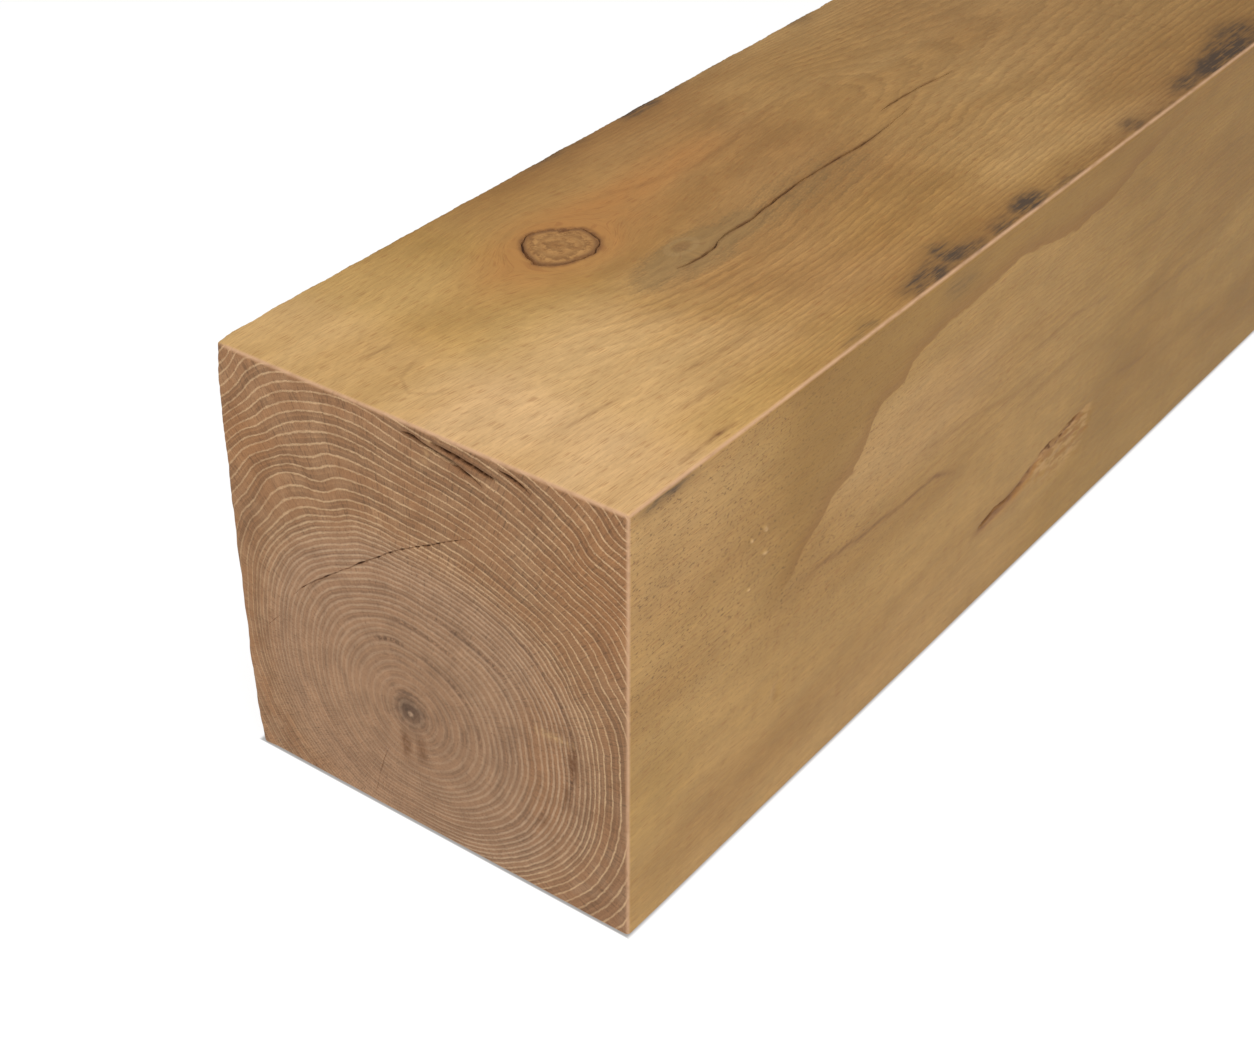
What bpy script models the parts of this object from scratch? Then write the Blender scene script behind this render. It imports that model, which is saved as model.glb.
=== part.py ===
"""A sawn oak post lying on one long face, cut square at both ends.

It is one solid piece of wood. X runs across the post, Y along it and Z up. The origin is
under the middle of the post, on the surface that it lies on. The front end faces -Y.
The face at -X is rough sawn and a little bowed; the other long faces are planed flat.
The end grain shows as shallow hollows between the growth rings. Lengths are in metres,
angles in degrees.
"""
import math

import bmesh
import bpy
from mathutils import Vector, noise

MM = 0.001

# Driving dimensions
SECTION = 150 * MM        # height of the post, and its width between the arrises
LENGTH = 1200 * MM
SAWN_BOW = 1.2 * MM       # how far the rough face at -X stands out between its arrises
ARRIS = 1.7 * MM          # leg of the small chamfer on the planed arrises
SAWN_ARRIS = 0.6 * MM     # leg of the chamfer where the rough face meets the others
SAWN_WAVE = 0.5 * MM      # mean depth of the waves along the rough face
SAWN_WAVES = ((0.7, 70 * MM, 60 * MM), (0.3, 24 * MM, 30 * MM))   # share, length, height
STATION_PITCH = 20 * MM   # distance between the outlines that the body is skinned over
SAWN_LEVELS = 8           # steps up the rough face

# Growth rings
PITH_FRONT = (-6.2 * MM, 44.5 * MM)   # x, z of the pith in the front end
PITH_BACK = (4.0 * MM, 52.0 * MM)     # and in the back end
RING_HOLLOW_DEPTH = 0.4 * MM
RING_HOLLOW_SHARE = 0.62              # width of a hollow as a share of the ring pitch
RING_CHORD = 8 * MM                   # length of the straight pieces that a ring is made of
RING_POINTS_MIN = 16

# Ring shape: for rings of several sizes, the distance from the pith in millimetres at each
# angle, counted anticlockwise from +X as seen from the front. A ring's size is its
# distance straight above the pith, at 90 degrees.
RING_SHAPES = {
    27.5: ((-90, 25.6), (-60, 26.6), (-30, 28.3), (0, 30.1), (20, 29.8), (45, 28.7),
           (65, 27.6), (90, 27.5), (105, 28.4), (150, 27.8), (200, 26.0), (240, 25.6)),
    44.3: ((-90, 37.0), (-60, 40.3), (-30, 44.6), (0, 48.3), (10, 48.8), (28, 51.2),
           (42, 51.0), (56, 48.0), (75, 44.7), (90, 44.3), (115, 43.7), (143, 45.3),
           (180, 42.5), (240, 39.5)),
    62.0: ((-90, 50.0), (-45, 60.0), (-15, 66.3), (0, 67.8), (15, 70.4), (35, 71.0),
           (50, 68.8), (65, 65.2), (84, 62.2), (104, 63.2), (111, 62.4), (125, 63.8),
           (145, 64.4), (180, 60.0), (240, 54.0)),
    77.7: ((-90, 62.0), (-45, 74.0), (-15, 80.7), (8, 83.2), (20, 86.6), (31, 86.0),
           (42, 87.0), (50, 83.3), (56, 81.7), (70, 79.7), (84, 77.6), (103, 78.6),
           (111, 77.2), (119, 80.8), (128, 81.6), (137, 79.4), (145, 80.1), (170, 74.0),
           (240, 66.0)),
    93.8: ((-90, 78.0), (-30, 95.0), (15, 101.0), (35, 100.2), (42, 101.0), (50, 97.0),
           (56, 94.3), (70, 92.8), (83, 91.5), (95, 94.3), (104, 95.8), (117, 95.1),
           (122, 94.3), (129, 95.5), (145, 95.0), (180, 89.0), (240, 82.0)),
    110.0: ((-90, 94.0), (0, 116.0), (40, 113.0), (48, 109.6), (52, 107.3), (56, 108.8),
            (66, 108.9), (82, 107.2), (92, 110.2), (106, 111.6), (117, 110.8),
            (123, 107.5), (131, 107.0), (180, 104.0), (240, 97.0)),
}
INNER_RINGS = (6.0, 5.2, 62.0)        # first size, step and last size, in millimetres
OUTER_RINGS = (65.8, 6.6, 124.0)
BACK_RING_EVERY = 2                   # the back end has one hollow for every two in front

# Knot on the top face: centre x and distance from the front end, and its two radii
KNOT_CENTRE = (-31.2 * MM, 106.2 * MM)
KNOT_RADII = (11.9 * MM, 13.4 * MM)
KNOT_GROOVE = (0.5 * MM, 1.2 * MM)    # half width and depth of the groove round the knot
KNOT_UNEVEN = 0.06                    # how far the knot's outline leaves an ellipse
KNOT_POINTS = 36

# Seasoning check on the top face: x and distance from the front end
TOP_CHECK = ((8, 124), (7.5, 136), (5.8, 146), (5.6, 158), (4.7, 175), (3.9, 195),
             (4.6, 214), (4.9, 229), (0.0, 255), (-2.4, 276), (-1.4, 298))
# Torn knot on the face at +X: distance from the front end and z
SIDE_TEAR = ((203, 35.1), (213, 37.4), (228, 36.6), (236, 40.2), (244, 43.0), (255, 43.6),
             (275, 45.0))
SIDE_HOLLOW_CENTRE = (262 * MM, 34 * MM)
SIDE_HOLLOW_RADII = (24 * MM, 9 * MM)
SIDE_HOLLOW_DEPTH = 1.4 * MM
# Checks and torn pockets in the front end: x and z
FRONT_CHECKS = (
    ((-48.8, 72.4), (-33.9, 84.5), (-21.8, 93.7), (-10.2, 102.2), (4.1, 110.7), (22, 120.5)),
    ((-17.8, 24.5), (-20.9, 14.0), (-24.0, 3.5)),
    ((-66.0, 50.2), (-59.4, 57.6)),
)
FRONT_POCKETS = (((4.5, 146.0), (13.0, 144.2), (23.0, 142.4)),
                 ((27.5, 144.6), (33.0, 146.0), (40.0, 146.6)))
# Checks in the back end start near the pith: direction in degrees, start and end radius
BACK_CHECKS = ((68, 6, 52), (195, 5, 38), (305, 6, 41))
BACK_CHECK_STEPS = 4
# Check and knot on the rough face, which the front view hides
ROUGH_CHECK = ((420, 88), (470, 90), (540, 86), (610, 87), (690, 82), (760, 84))
ROUGH_KNOT_CENTRE = (845 * MM, 62 * MM)
ROUGH_KNOT_RADII = (17 * MM, 14 * MM)

CHECK_SIZE = (0.5 * MM, 3.0 * MM)     # half width and depth of a fine check
TEAR_SIZE = (1.3 * MM, 2.2 * MM)
POCKET_SIZE = (1.1 * MM, 1.8 * MM)
CHECK_TIP = 0.15                      # a check's width at its tips, as a share of the middle
CUTTER_RISE = 2.5 * MM                # how far a cutter stands out of the face it cuts

FRONT_Y = -LENGTH / 2
WIDTH = SECTION + SAWN_BOW
HALF_WIDTH = WIDTH / 2


def top(x, along, out=0.0):
    """A point over the top face, from x and the distance from the front end."""
    return Vector((x, FRONT_Y + along, SECTION + out))


def planed_side(along, z, out=0.0):
    """A point off the face at +X."""
    return Vector((HALF_WIDTH + out, FRONT_Y + along, z))


def rough_side(along, z, out=0.0):
    """A point off the rough face at -X, which is bowed and waved."""
    return Vector((-HALF_WIDTH + rough_inset(along, z) - out, FRONT_Y + along, z))


def front_end(x, z, out=0.0):
    """A point off the front end."""
    return Vector((x, FRONT_Y - out, z))


def back_end(x, z, out=0.0):
    """A point off the back end."""
    return Vector((x, FRONT_Y + LENGTH + out, z))


def in_metres(points):
    """Pairs in millimetres as pairs in metres."""
    return [(a * MM, b * MM) for a, b in points]


def ring_shape_radius(shape, angle):
    """A listed ring's distance from the pith, on a smooth closed curve through its points."""
    angle = (angle + 90) % 360 - 90
    count = len(shape)
    after = next((i for i, point in enumerate(shape) if point[0] > angle), count)

    def point(i):
        turn, i = divmod(i, count)
        return shape[i][0] + 360 * turn, shape[i][1]

    (a0, r0), (a1, r1), (a2, r2), (a3, r3) = (point(after + k) for k in (-2, -1, 0, 1))
    span = a2 - a1
    t = (angle - a1) / span
    slope1 = (r2 - r0) / (a2 - a0) * span
    slope2 = (r3 - r1) / (a3 - a1) * span
    return ((2 * t**3 - 3 * t**2 + 1) * r1 + (t**3 - 2 * t**2 + t) * slope1
            + (3 * t**2 - 2 * t**3) * r2 + (t**3 - t**2) * slope2)


def ring_radius(size, angle):
    """Distance from the pith, in metres, of the ring of a size in millimetres."""
    sizes = sorted(RING_SHAPES)
    ratios = [ring_shape_radius(RING_SHAPES[s], angle) / s for s in sizes]
    if size <= sizes[0]:
        ratio = 1 + (ratios[0] - 1) * size / sizes[0]
    elif size >= sizes[-1]:
        ratio = ratios[-1]
    else:
        k = next(i for i, s in enumerate(sizes) if s > size)
        share = (size - sizes[k - 1]) / (sizes[k] - sizes[k - 1])
        ratio = ratios[k - 1] + (ratios[k] - ratios[k - 1]) * share
    return size * ratio * MM


def rough_inset(along, z):
    """How far the rough face lies inside the widest section, from its bow and its waves."""
    bow = SAWN_BOW * (2 * z / SECTION - 1)**4
    waves = sum(share * noise.noise(Vector((along / length, z / height, length / height)))
                for share, length, height in SAWN_WAVES)
    return bow + SAWN_WAVE * max(0.0, 0.5 + waves)


def section_outline(along, shrink=0.0):
    """Outline of the post at a distance from the front end, anticlockwise from below left.

    Shrink draws it in all round for the chamfer at the ends, and less on the rough side.
    """
    rough_shrink = shrink * SAWN_ARRIS / ARRIS
    low, high = shrink, SECTION - shrink
    right = HALF_WIDTH - shrink

    def left(z):
        return -HALF_WIDTH + rough_inset(along, z) + rough_shrink

    points = [(left(low) + SAWN_ARRIS, low), (right - ARRIS, low), (right, low + ARRIS),
              (right, high - ARRIS), (right - ARRIS, high), (left(high) + SAWN_ARRIS, high)]
    for step in range(SAWN_LEVELS + 1):
        z = high - SAWN_ARRIS - (high - low - 2 * SAWN_ARRIS) * step / SAWN_LEVELS
        points.append((left(z), z))
    return points


def make_object(name, bm):
    """An object in the scene from a bmesh whose faces are turned to point out."""
    bmesh.ops.recalc_face_normals(bm, faces=bm.faces)
    mesh = bpy.data.meshes.new(name)
    bm.to_mesh(mesh)
    bm.free()
    obj = bpy.data.objects.new(name, mesh)
    bpy.context.scene.collection.objects.link(obj)
    return obj


def bridge(bm, loop_a, loop_b):
    """Quads between two loops of the same count."""
    count = len(loop_a)
    for i in range(count):
        j = (i + 1) % count
        bm.faces.new((loop_a[i], loop_a[j], loop_b[j], loop_b[i]))


def build_body():
    """The post without its checks, knots and ring hollows, skinned over outlines along Y."""
    stations = [(0.0, ARRIS), (ARRIS, 0.0)]
    steps = round((LENGTH - 2 * ARRIS) / STATION_PITCH)
    stations += [(ARRIS + (LENGTH - 2 * ARRIS) * i / steps, 0.0) for i in range(1, steps + 1)]
    stations.append((LENGTH, ARRIS))
    bm = bmesh.new()
    loops = [[bm.verts.new((x, FRONT_Y + along, z)) for x, z in section_outline(along, shrink)]
             for along, shrink in stations]
    for near, far in zip(loops, loops[1:]):
        bridge(bm, near, far)
    bm.faces.new(loops[0])
    bm.faces.new(loops[-1])
    return make_object("oak_post", bm)


def add_groove(bm, route, half_width, depth, place, closed=False):
    """Add a V-shaped cutter along a route of (u, v) points that place() puts on a face.

    An open groove gets narrow and shallow towards both tips; a closed one is even all
    round. Above the face the cutter's walls stand upright.
    """
    count = len(route)
    loops = []
    for i, (u, v) in enumerate(route):
        before = route[i - 1] if closed or i > 0 else route[i]
        after = route[(i + 1) % count] if closed or i < count - 1 else route[i]
        run = Vector((after[0] - before[0], after[1] - before[1])).normalized()
        size = 1.0
        if not closed:
            size = CHECK_TIP + (1 - CHECK_TIP) * math.sin(math.pi * i / (count - 1))
        across = Vector((-run.y, run.x)) * half_width * size
        profile = [(1, 0.0), (1, CUTTER_RISE), (-1, CUTTER_RISE), (-1, 0.0), (0, -depth * size)]
        loops.append([bm.verts.new(place(u + across.x * side, v + across.y * side, out))
                      for side, out in profile])
    for near, far in zip(loops, loops[1:]):
        bridge(bm, near, far)
    if closed:
        bridge(bm, loops[-1], loops[0])
    else:
        bm.faces.new(loops[0])
        bm.faces.new(loops[-1])


def ellipse_route(centre, radii):
    """A closed route round a knot: an ellipse with a slow unevenness."""
    route = []
    for i in range(KNOT_POINTS):
        turn = 2 * math.pi * i / KNOT_POINTS
        size = 1 + KNOT_UNEVEN * (math.sin(2 * turn + 0.6) + 0.5 * math.sin(5 * turn))
        route.append((centre[0] + radii[0] * size * math.cos(turn),
                      centre[1] + radii[1] * size * math.sin(turn)))
    return route


def ring_route(pith, size):
    """A growth ring in an end, as a closed route of short straight pieces."""
    mean = ring_radius(size, 90)
    points = max(RING_POINTS_MIN, round(2 * math.pi * mean / RING_CHORD))
    route = []
    for i in range(points):
        angle = 360 * i / points
        radius = ring_radius(size, angle)
        route.append((pith[0] + radius * math.cos(math.radians(angle)),
                      pith[1] + radius * math.sin(math.radians(angle))))
    return route


def ring_sizes(first, step, last):
    """Ring sizes from first to last."""
    return [first + step * i for i in range(int((last - first) / step) + 1)]


def add_ring_hollows(bm, pith, place, every):
    """Hollows between the rings of one end, taking one ring in every so many."""
    for rings in (INNER_RINGS, OUTER_RINGS):
        half_width = rings[1] * MM * RING_HOLLOW_SHARE / 2
        for size in ring_sizes(*rings)[::every]:
            add_groove(bm, ring_route(pith, size), half_width, RING_HOLLOW_DEPTH, place,
                       closed=True)


def end_cutters():
    """Cutters for the growth rings, checks and torn pockets in both ends."""
    rings = bmesh.new()
    add_ring_hollows(rings, PITH_FRONT, front_end, 1)
    add_ring_hollows(rings, PITH_BACK, back_end, BACK_RING_EVERY)
    checks = bmesh.new()
    for route in FRONT_CHECKS:
        add_groove(checks, in_metres(route), *CHECK_SIZE, front_end)
    for route in FRONT_POCKETS:
        add_groove(checks, in_metres(route), *POCKET_SIZE, front_end)
    for angle, start, stop in BACK_CHECKS:
        way = Vector((math.cos(math.radians(angle)), math.sin(math.radians(angle)))) * MM
        pith = Vector(PITH_BACK)
        route = [tuple(pith + way * (start + (stop - start) * i / BACK_CHECK_STEPS))
                 for i in range(BACK_CHECK_STEPS + 1)]
        add_groove(checks, route, *CHECK_SIZE, back_end)
    return [make_object("ring_cutter", rings), make_object("end_check_cutter", checks)]


def face_cutters():
    """Cutters for the knots, checks and tears in the long faces."""
    grooves = bmesh.new()
    add_groove(grooves, ellipse_route(KNOT_CENTRE, KNOT_RADII),
               *KNOT_GROOVE, top, closed=True)
    add_groove(grooves, in_metres(TOP_CHECK), *CHECK_SIZE, top)
    add_groove(grooves, in_metres(ROUGH_CHECK), *CHECK_SIZE, rough_side)
    add_groove(grooves, ellipse_route(ROUGH_KNOT_CENTRE, ROUGH_KNOT_RADII),
               *KNOT_GROOVE, rough_side, closed=True)
    tear = bmesh.new()
    add_groove(tear, in_metres(SIDE_TEAR), *TEAR_SIZE, planed_side)
    return [make_object("groove_cutter", grooves), make_object("tear_cutter", tear),
            hollow_cutter()]


def hollow_cutter():
    """A flat ball that leaves the shallow torn hollow beside the gash of the side knot."""
    bm = bmesh.new()
    bmesh.ops.create_icosphere(bm, subdivisions=3, radius=1.0)
    thickness = 4 * SIDE_HOLLOW_DEPTH
    # A ball whose middle stands out by 3 depths cuts a cap that is narrower than the ball
    cap = math.sqrt(1 - (1 - SIDE_HOLLOW_DEPTH / thickness) ** 2)
    centre = planed_side(*SIDE_HOLLOW_CENTRE, thickness - SIDE_HOLLOW_DEPTH)
    for vert in bm.verts:
        vert.co = centre + Vector((vert.co.x * thickness,
                                   vert.co.y * SIDE_HOLLOW_RADII[0] / cap,
                                   vert.co.z * SIDE_HOLLOW_RADII[1] / cap))
    return make_object("hollow_cutter", bm)


def cut(body, cutters):
    """Take the cutters out of the body, one Boolean each, and leave them as guides."""
    for cutter in cutters:
        cutter.hide_render = True
        cutter.display_type = 'WIRE'
        boolean = body.modifiers.new(cutter.name, 'BOOLEAN')
        boolean.operation = 'DIFFERENCE'
        boolean.solver = 'EXACT'
        boolean.object = cutter


def oak_material():
    """Planed, unfinished oak."""
    material = bpy.data.materials.new("oak")
    material.use_nodes = True
    shader = material.node_tree.nodes["Principled BSDF"]
    shader.inputs["Base Color"].default_value = (0.47, 0.31, 0.15, 1.0)
    shader.inputs["Roughness"].default_value = 0.62
    shader.inputs["Metallic"].default_value = 0.0
    return material


def main():
    for obj in list(bpy.data.objects):
        bpy.data.objects.remove(obj)
    post = build_body()
    post.data.materials.append(oak_material())
    cut(post, end_cutters() + face_cutters())


main()
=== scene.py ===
"""The looks of the oak post: its wood as one closed surface, with floor, lights and camera.

X runs across the post, Y along it and Z up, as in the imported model. Shapes are worked out
in millimetres. A point is first given on a sharp-edged box, as x, the distance from the
front end and z. Grooves, the sawn face and the rounded arrises then move it to its place.
"""

import math
import random
from types import SimpleNamespace

import bpy
import numpy as np
from mathutils import Euler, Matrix, Vector, kdtree, noise
from mathutils.geometry import delaunay_2d_cdt


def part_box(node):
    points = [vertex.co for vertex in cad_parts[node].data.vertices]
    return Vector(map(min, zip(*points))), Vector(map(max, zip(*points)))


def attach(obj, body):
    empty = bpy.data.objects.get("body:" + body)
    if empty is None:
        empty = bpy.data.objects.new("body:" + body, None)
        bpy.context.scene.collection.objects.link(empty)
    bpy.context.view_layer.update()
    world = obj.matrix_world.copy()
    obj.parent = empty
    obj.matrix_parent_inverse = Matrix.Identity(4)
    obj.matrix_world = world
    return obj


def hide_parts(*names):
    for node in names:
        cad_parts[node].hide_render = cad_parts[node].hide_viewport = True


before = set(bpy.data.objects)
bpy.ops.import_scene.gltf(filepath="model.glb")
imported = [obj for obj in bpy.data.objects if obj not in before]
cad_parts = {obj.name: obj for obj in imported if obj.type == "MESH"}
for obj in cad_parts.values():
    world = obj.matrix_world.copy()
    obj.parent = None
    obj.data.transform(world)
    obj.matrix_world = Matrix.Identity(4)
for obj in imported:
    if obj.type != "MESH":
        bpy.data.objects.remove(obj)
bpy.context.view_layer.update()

MM = 0.001
POST_LOW, POST_HIGH = (np.array(corner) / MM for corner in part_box("oak_post"))
HALF_WIDTH = POST_HIGH[0]
LENGTH = POST_HIGH[1] - POST_LOW[1]
SECTION = POST_HIGH[2]
SEEN = 450                # the photo shows this much of the length

# Each flat side of the box: its two axes (0 is x, 1 along, 2 z), the fixed axis and its value
SIDES = {
    "front": (0, 2, 1, 0.0),
    "back": (0, 2, 1, LENGTH),
    "top": (1, 0, 2, SECTION),
    "bottom": (1, 0, 2, 0.0),
    "right": (1, 2, 0, HALF_WIDTH),
    "left": (1, 2, 0, -HALF_WIDTH),
}
ON_SIDE = 1e-3            # a point this near a side lies on it
BOX_LOW = np.array((-HALF_WIDTH, 0.0, 0.0))
BOX_HIGH = np.array((HALF_WIDTH, LENGTH, SECTION))
ARRIS_NAME_ORDER = ("top", "bottom", "front", "back", "right", "left")
SIDES_TO_FLIP = ("back", "top", "left")   # triangles come out facing in on these

# Arrises: the radius on the planed edges and on the sawn edges at -X
ARRIS = 1.5
SAWN_ARRIS = 0.7
ARRIS_ROWS = (0.0, 0.6, 1.2, 1.8, 2.3)
SAWN_ROWS = (0.0, 0.4, 0.9)

# The rough face at -X: bow, waves, saw marks and the fur of the torn growth rings
SAWN_BOW = 0.45
SAWN_WAVES = ((0.30, 70, 60), (0.42, 11, 14), (0.20, 4.5, 5))   # depth, length, height
SAW_MARK = (0.17, 3.3, 0.16)      # depth, pitch and lean of the marks of the blade
RING_TEAR = 0.22                  # extra depth where the soft part of a ring meets the face
SAWN_REACH = 12.0                 # the inset of the rough face fades out over this width
FRONT_CORNER = (1.5, 8.0)         # how far the face draws in at its front corners, and where

# Growth rings. A ring's size is its distance straight above the pith in the front end.
# For rings of several sizes, the distance from the pith at each angle from +X towards +Z
RING_SHAPES = {
    27.5: ((-90, 25.6), (-60, 26.6), (-30, 28.3), (0, 30.1), (20, 29.8), (45, 28.7),
           (65, 27.6), (90, 27.5), (105, 28.4), (150, 27.8), (200, 26.0), (240, 25.6)),
    44.3: ((-90, 37.0), (-60, 40.3), (-30, 44.6), (0, 48.3), (10, 48.8), (28, 51.2),
           (42, 51.0), (56, 48.0), (75, 44.7), (90, 44.3), (115, 43.7), (143, 45.3),
           (180, 42.5), (240, 39.5)),
    62.0: ((-90, 50.0), (-45, 60.0), (-15, 66.3), (0, 67.8), (15, 70.4), (35, 71.0),
           (50, 68.8), (65, 65.2), (84, 62.2), (104, 63.2), (111, 62.4), (125, 63.8),
           (145, 64.4), (180, 60.0), (240, 54.0)),
    77.7: ((-90, 62.0), (-45, 74.0), (-15, 80.7), (8, 83.2), (20, 86.6), (31, 86.0),
           (42, 87.0), (50, 83.3), (56, 81.7), (70, 79.7), (84, 77.6), (103, 78.6),
           (111, 77.2), (119, 80.8), (128, 81.6), (137, 79.4), (145, 80.1), (170, 74.0),
           (240, 66.0)),
    93.8: ((-90, 78.0), (-30, 95.0), (15, 101.0), (35, 100.2), (42, 101.0), (50, 97.0),
           (56, 94.3), (70, 92.8), (83, 91.5), (95, 94.3), (104, 95.8), (117, 95.1),
           (122, 94.3), (129, 95.5), (145, 95.0), (180, 89.0), (240, 82.0)),
    110.0: ((-90, 94.0), (0, 116.0), (40, 113.0), (48, 109.6), (52, 107.3), (56, 108.8),
            (66, 108.9), (82, 107.2), (92, 110.2), (106, 111.6), (117, 110.8),
            (123, 107.5), (131, 107.0), (180, 104.0), (240, 97.0)),
}
RING_SIZES = (4.6, 7.2, 9.6, 12.3, 15.2, 17.9, 20.9, 24.0, 26.6, 28.7, 30.7, 32.6, 35.3, 37.4,
              39.5, 41.4, 43.9, 46.4, 48.3, 50.1, 51.9, 53.5, 55.1, 56.8, 58.7, 60.3, 61.9,
              63.8, 65.5, 67.8, 70.7, 74.0, 77.7, 81.1, 84.3, 87.6, 91.0, 93.9, 97.4, 100.5,
              103.8, 106.9, 110.0)
BARK_RINGS = (113.1, 3.1, 190.0)  # first size, step and last size of the rings past those
RING_JITTER = 0.22
RING_WAVES = ((0.55, 17), (0.22, 5))     # unevenness of the rings: amount and length
CURLY_WOOD = ((58, 102), (26, 44), 1.5)  # place, radii and extra unevenness of curly grain
# Rings with a dark stretch: size, start and end angle in degrees, strength
DARK_RINGS = ((7.9, 35, 75, 0.7), (7.6, 72, 128, 1.0), (20.0, 0, 14, 0.5), (20.2, 95, 128, 0.4),
              (25.2, 0, 18, 0.7), (25.3, 24, 78, 0.75), (25.5, 92, 120, 1.0),
              (34.4, 58, 98, 0.75), (42.5, 38, 76, 0.75), (45.2, 18, 46, 0.55),
              (50.9, 14, 30, 0.5), (49.2, -22, -6, 0.5), (56.0, -4, 12, 1.0),
              (57.8, 12, 50, 0.7), (66.7, 66, 82, 0.5), (92.5, 100, 122, 0.4))
# The pith's x and z along the post
PITH = ((-150, -5.0, 44.0), (0, -6.2, 44.5), (150, -9.0, 46.0), (400, -7.0, 44.0),
        (800, 0.0, 49.0), (1200, 4.0, 52.0), (1350, 5.0, 52.0))
# Along the post, how much smaller the rings under the top face are than their shape says
SWELL = ((-60, -4.0), (0, 0.0), (12, 1.9), (60, 8.0), (100, 12.0), (140, 13.0), (200, 13.3),
         (255, 13.2), (265, 12.9), (277, 11.4), (300, 9.8), (327, 8.2), (362, 6.7), (430, 4.8),
         (520, 3.5), (700, 6.0), (900, 9.0), (1060, 4.0), (1200, 0.0), (1300, 0.0))
SWELL_ANGLE = (97.0, 33.0)        # direction of the middle of the swelling, and its spread
# Along the post, how far the grain under the top face is moved across, and its reach
TOP_DRIFT = ((-60, 6.0), (0, 6.0), (12, 5.5), (70, 0.0), (130, -5.7), (152, -7.0), (200, -2.0),
             (265, 4.0), (300, 0.0), (362, -2.0), (450, 0.0), (650, 4.0), (900, -3.0),
             (1200, 0.0))
TOP_DRIFT_REACH = 40.0

# Marks on the top face, as distance from the front end and x
KNOT_CENTRE = (106.5, -31.4)
KNOT_OUTLINE = ((-6, 13.6), (22, 13.3), (37, 13.1), (59, 12.5), (80, 11.9), (103, 11.1),
                (130, 12.3), (149, 13.1), (171, 13.6), (185, 12.4), (209, 11.4), (232, 11.4),
                (255, 11.9), (280, 11.7), (300, 11.1), (328, 11.2), (348, 12.6))
KNOT_HOLES = (((115.2, -36.6), (116.7, -35.8)), ((92.6, -30.2), (93.3, -28.3)))
PIN_KNOT = ((129.0, -0.4), (3.9, 2.3))
TOP_CHECKS = (
    ((117, 7.0, 0.5), (121, 8.2, 0.8), (128, 8.5, 0.9), (135, 8.0, 0.8), (139, 6.6, 0.4),
     (145, 6.0, 0.9), (152, 6.2, 1.0), (158, 6.4, 0.9), (163, 5.6, 0.9), (170, 5.1, 1.0),
     (180, 4.6, 1.0), (190, 3.9, 0.8), (200, 4.1, 0.7), (213, 4.4, 0.9), (225, 5.2, 1.0),
     (233, 5.0, 0.6), (243, 4.4, 0.35), (254, 3.2, 0.25), (266, 1.6, 0.15)),
    ((255, -4.3, 0.2), (262, -4.6, 0.7), (270, -4.5, 0.75), (277, -4.2, 0.5), (286, -3.4, 0.6),
     (294, -2.4, 0.5), (300, -2.0, 0.15)),
)
# Marks on the right face, as distance from the front end and z
SIDE_TEAR = ((202, 34.6, 0.1), (208, 35.6, 0.2), (213, 37.0, 0.4), (220, 36.2, 0.45),
             (228, 36.6, 0.4), (233, 38.6, 0.35), (238, 40.0, 0.4), (243, 41.0, 0.45),
             (247, 43.2, 0.8), (252, 44.0, 1.0), (258, 43.4, 1.0), (264, 44.6, 1.0),
             (271, 45.2, 0.9), (276, 45.4, 0.4))
TEAR_CAVITY = ((200, 0.5), (212, 1.0), (228, 1.2), (240, 1.6), (246, 3.2), (253, 5.0),
               (262, 5.0), (266, 4.4), (271, 4.4), (277, 2.6), (283, 0.8))   # along, width
TEAR_SLOPE = 0.52                 # depth of the cavity over its width
TEAR_LIP = ((200, 1.0), (225, 2.5), (240, 6.0), (250, 15.0), (262, 20.0), (276, 19.0),
            (286, 12.0), (294, 3.0))          # along, width of the torn wood below it
TEAR_LIP_DEPTH = 1.1
DAMP_EDGE = ((-5, 62), (20, 66), (45, 71), (66, 77), (80, 84), (86.5, 91), (95, 95.6),
             (101, 101.7), (112, 104.5), (119, 111.2), (122, 116), (124.5, 119.9), (129, 121.6),
             (141, 123.6), (146, 128.6), (156, 130.6), (165, 131.9), (179, 132.2), (189, 133.1),
             (203, 134.6), (211, 135.4), (225, 133.9), (240, 130.6), (254, 128.6), (263, 130.3),
             (277, 129.8), (286, 132.4), (297, 135.8), (312, 138.5), (330, 140.5), (352, 142),
             (375, 145), (400, 151))
SIDE_CHIPS = ((65.0, 110.5, -50, 2.3), (65.2, 101.9, -25, 2.0), (58.0, 110.0, -60, 1.5),
              (57.3, 93.2, -20, 1.3))       # place, direction in degrees and length
CHIP_RISE = 0.35
SIDE_PIN_KNOT = ((75.0, 44.5), (3.4, 5.0))
# Dark iron stains on the top face: centre, radii and strength
STAINS = (((112, 74), (15, 5), 0.50), ((122, 72), (8, 5), 0.65), ((149, 71), (10, 6), 0.95),
          ((160, 71), (13, 7), 1.20), ((175, 68), (11, 10), 1.10), ((184, 73), (11, 6), 0.95),
          ((202, 73), (17, 6), 0.75), ((221, 71), (14, 7), 1.25), ((244, 75), (22, 5), 0.60),
          ((297, 71), (13, 8), 0.70), ((315, 76), (36, 5), 0.55), ((341, 70), (17, 8), 0.85),
          ((361, 71), (19, 10), 1.15), ((380, 70), (20, 12), 1.35), ((396, 66), (24, 15), 0.85),
          ((730, 75), (24, 9), 0.80), ((1035, 75), (15, 6), 0.70), ((160, -75), (34, 7), 0.60),
          ((205, -75), (18, 7), 1.20), ((226, -76), (12, 5), 0.75), ((252, -76), (16, 5), 0.45),
          ((308, -75), (15, 10), 0.65), ((585, -75), (26, 8), 0.80))
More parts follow.
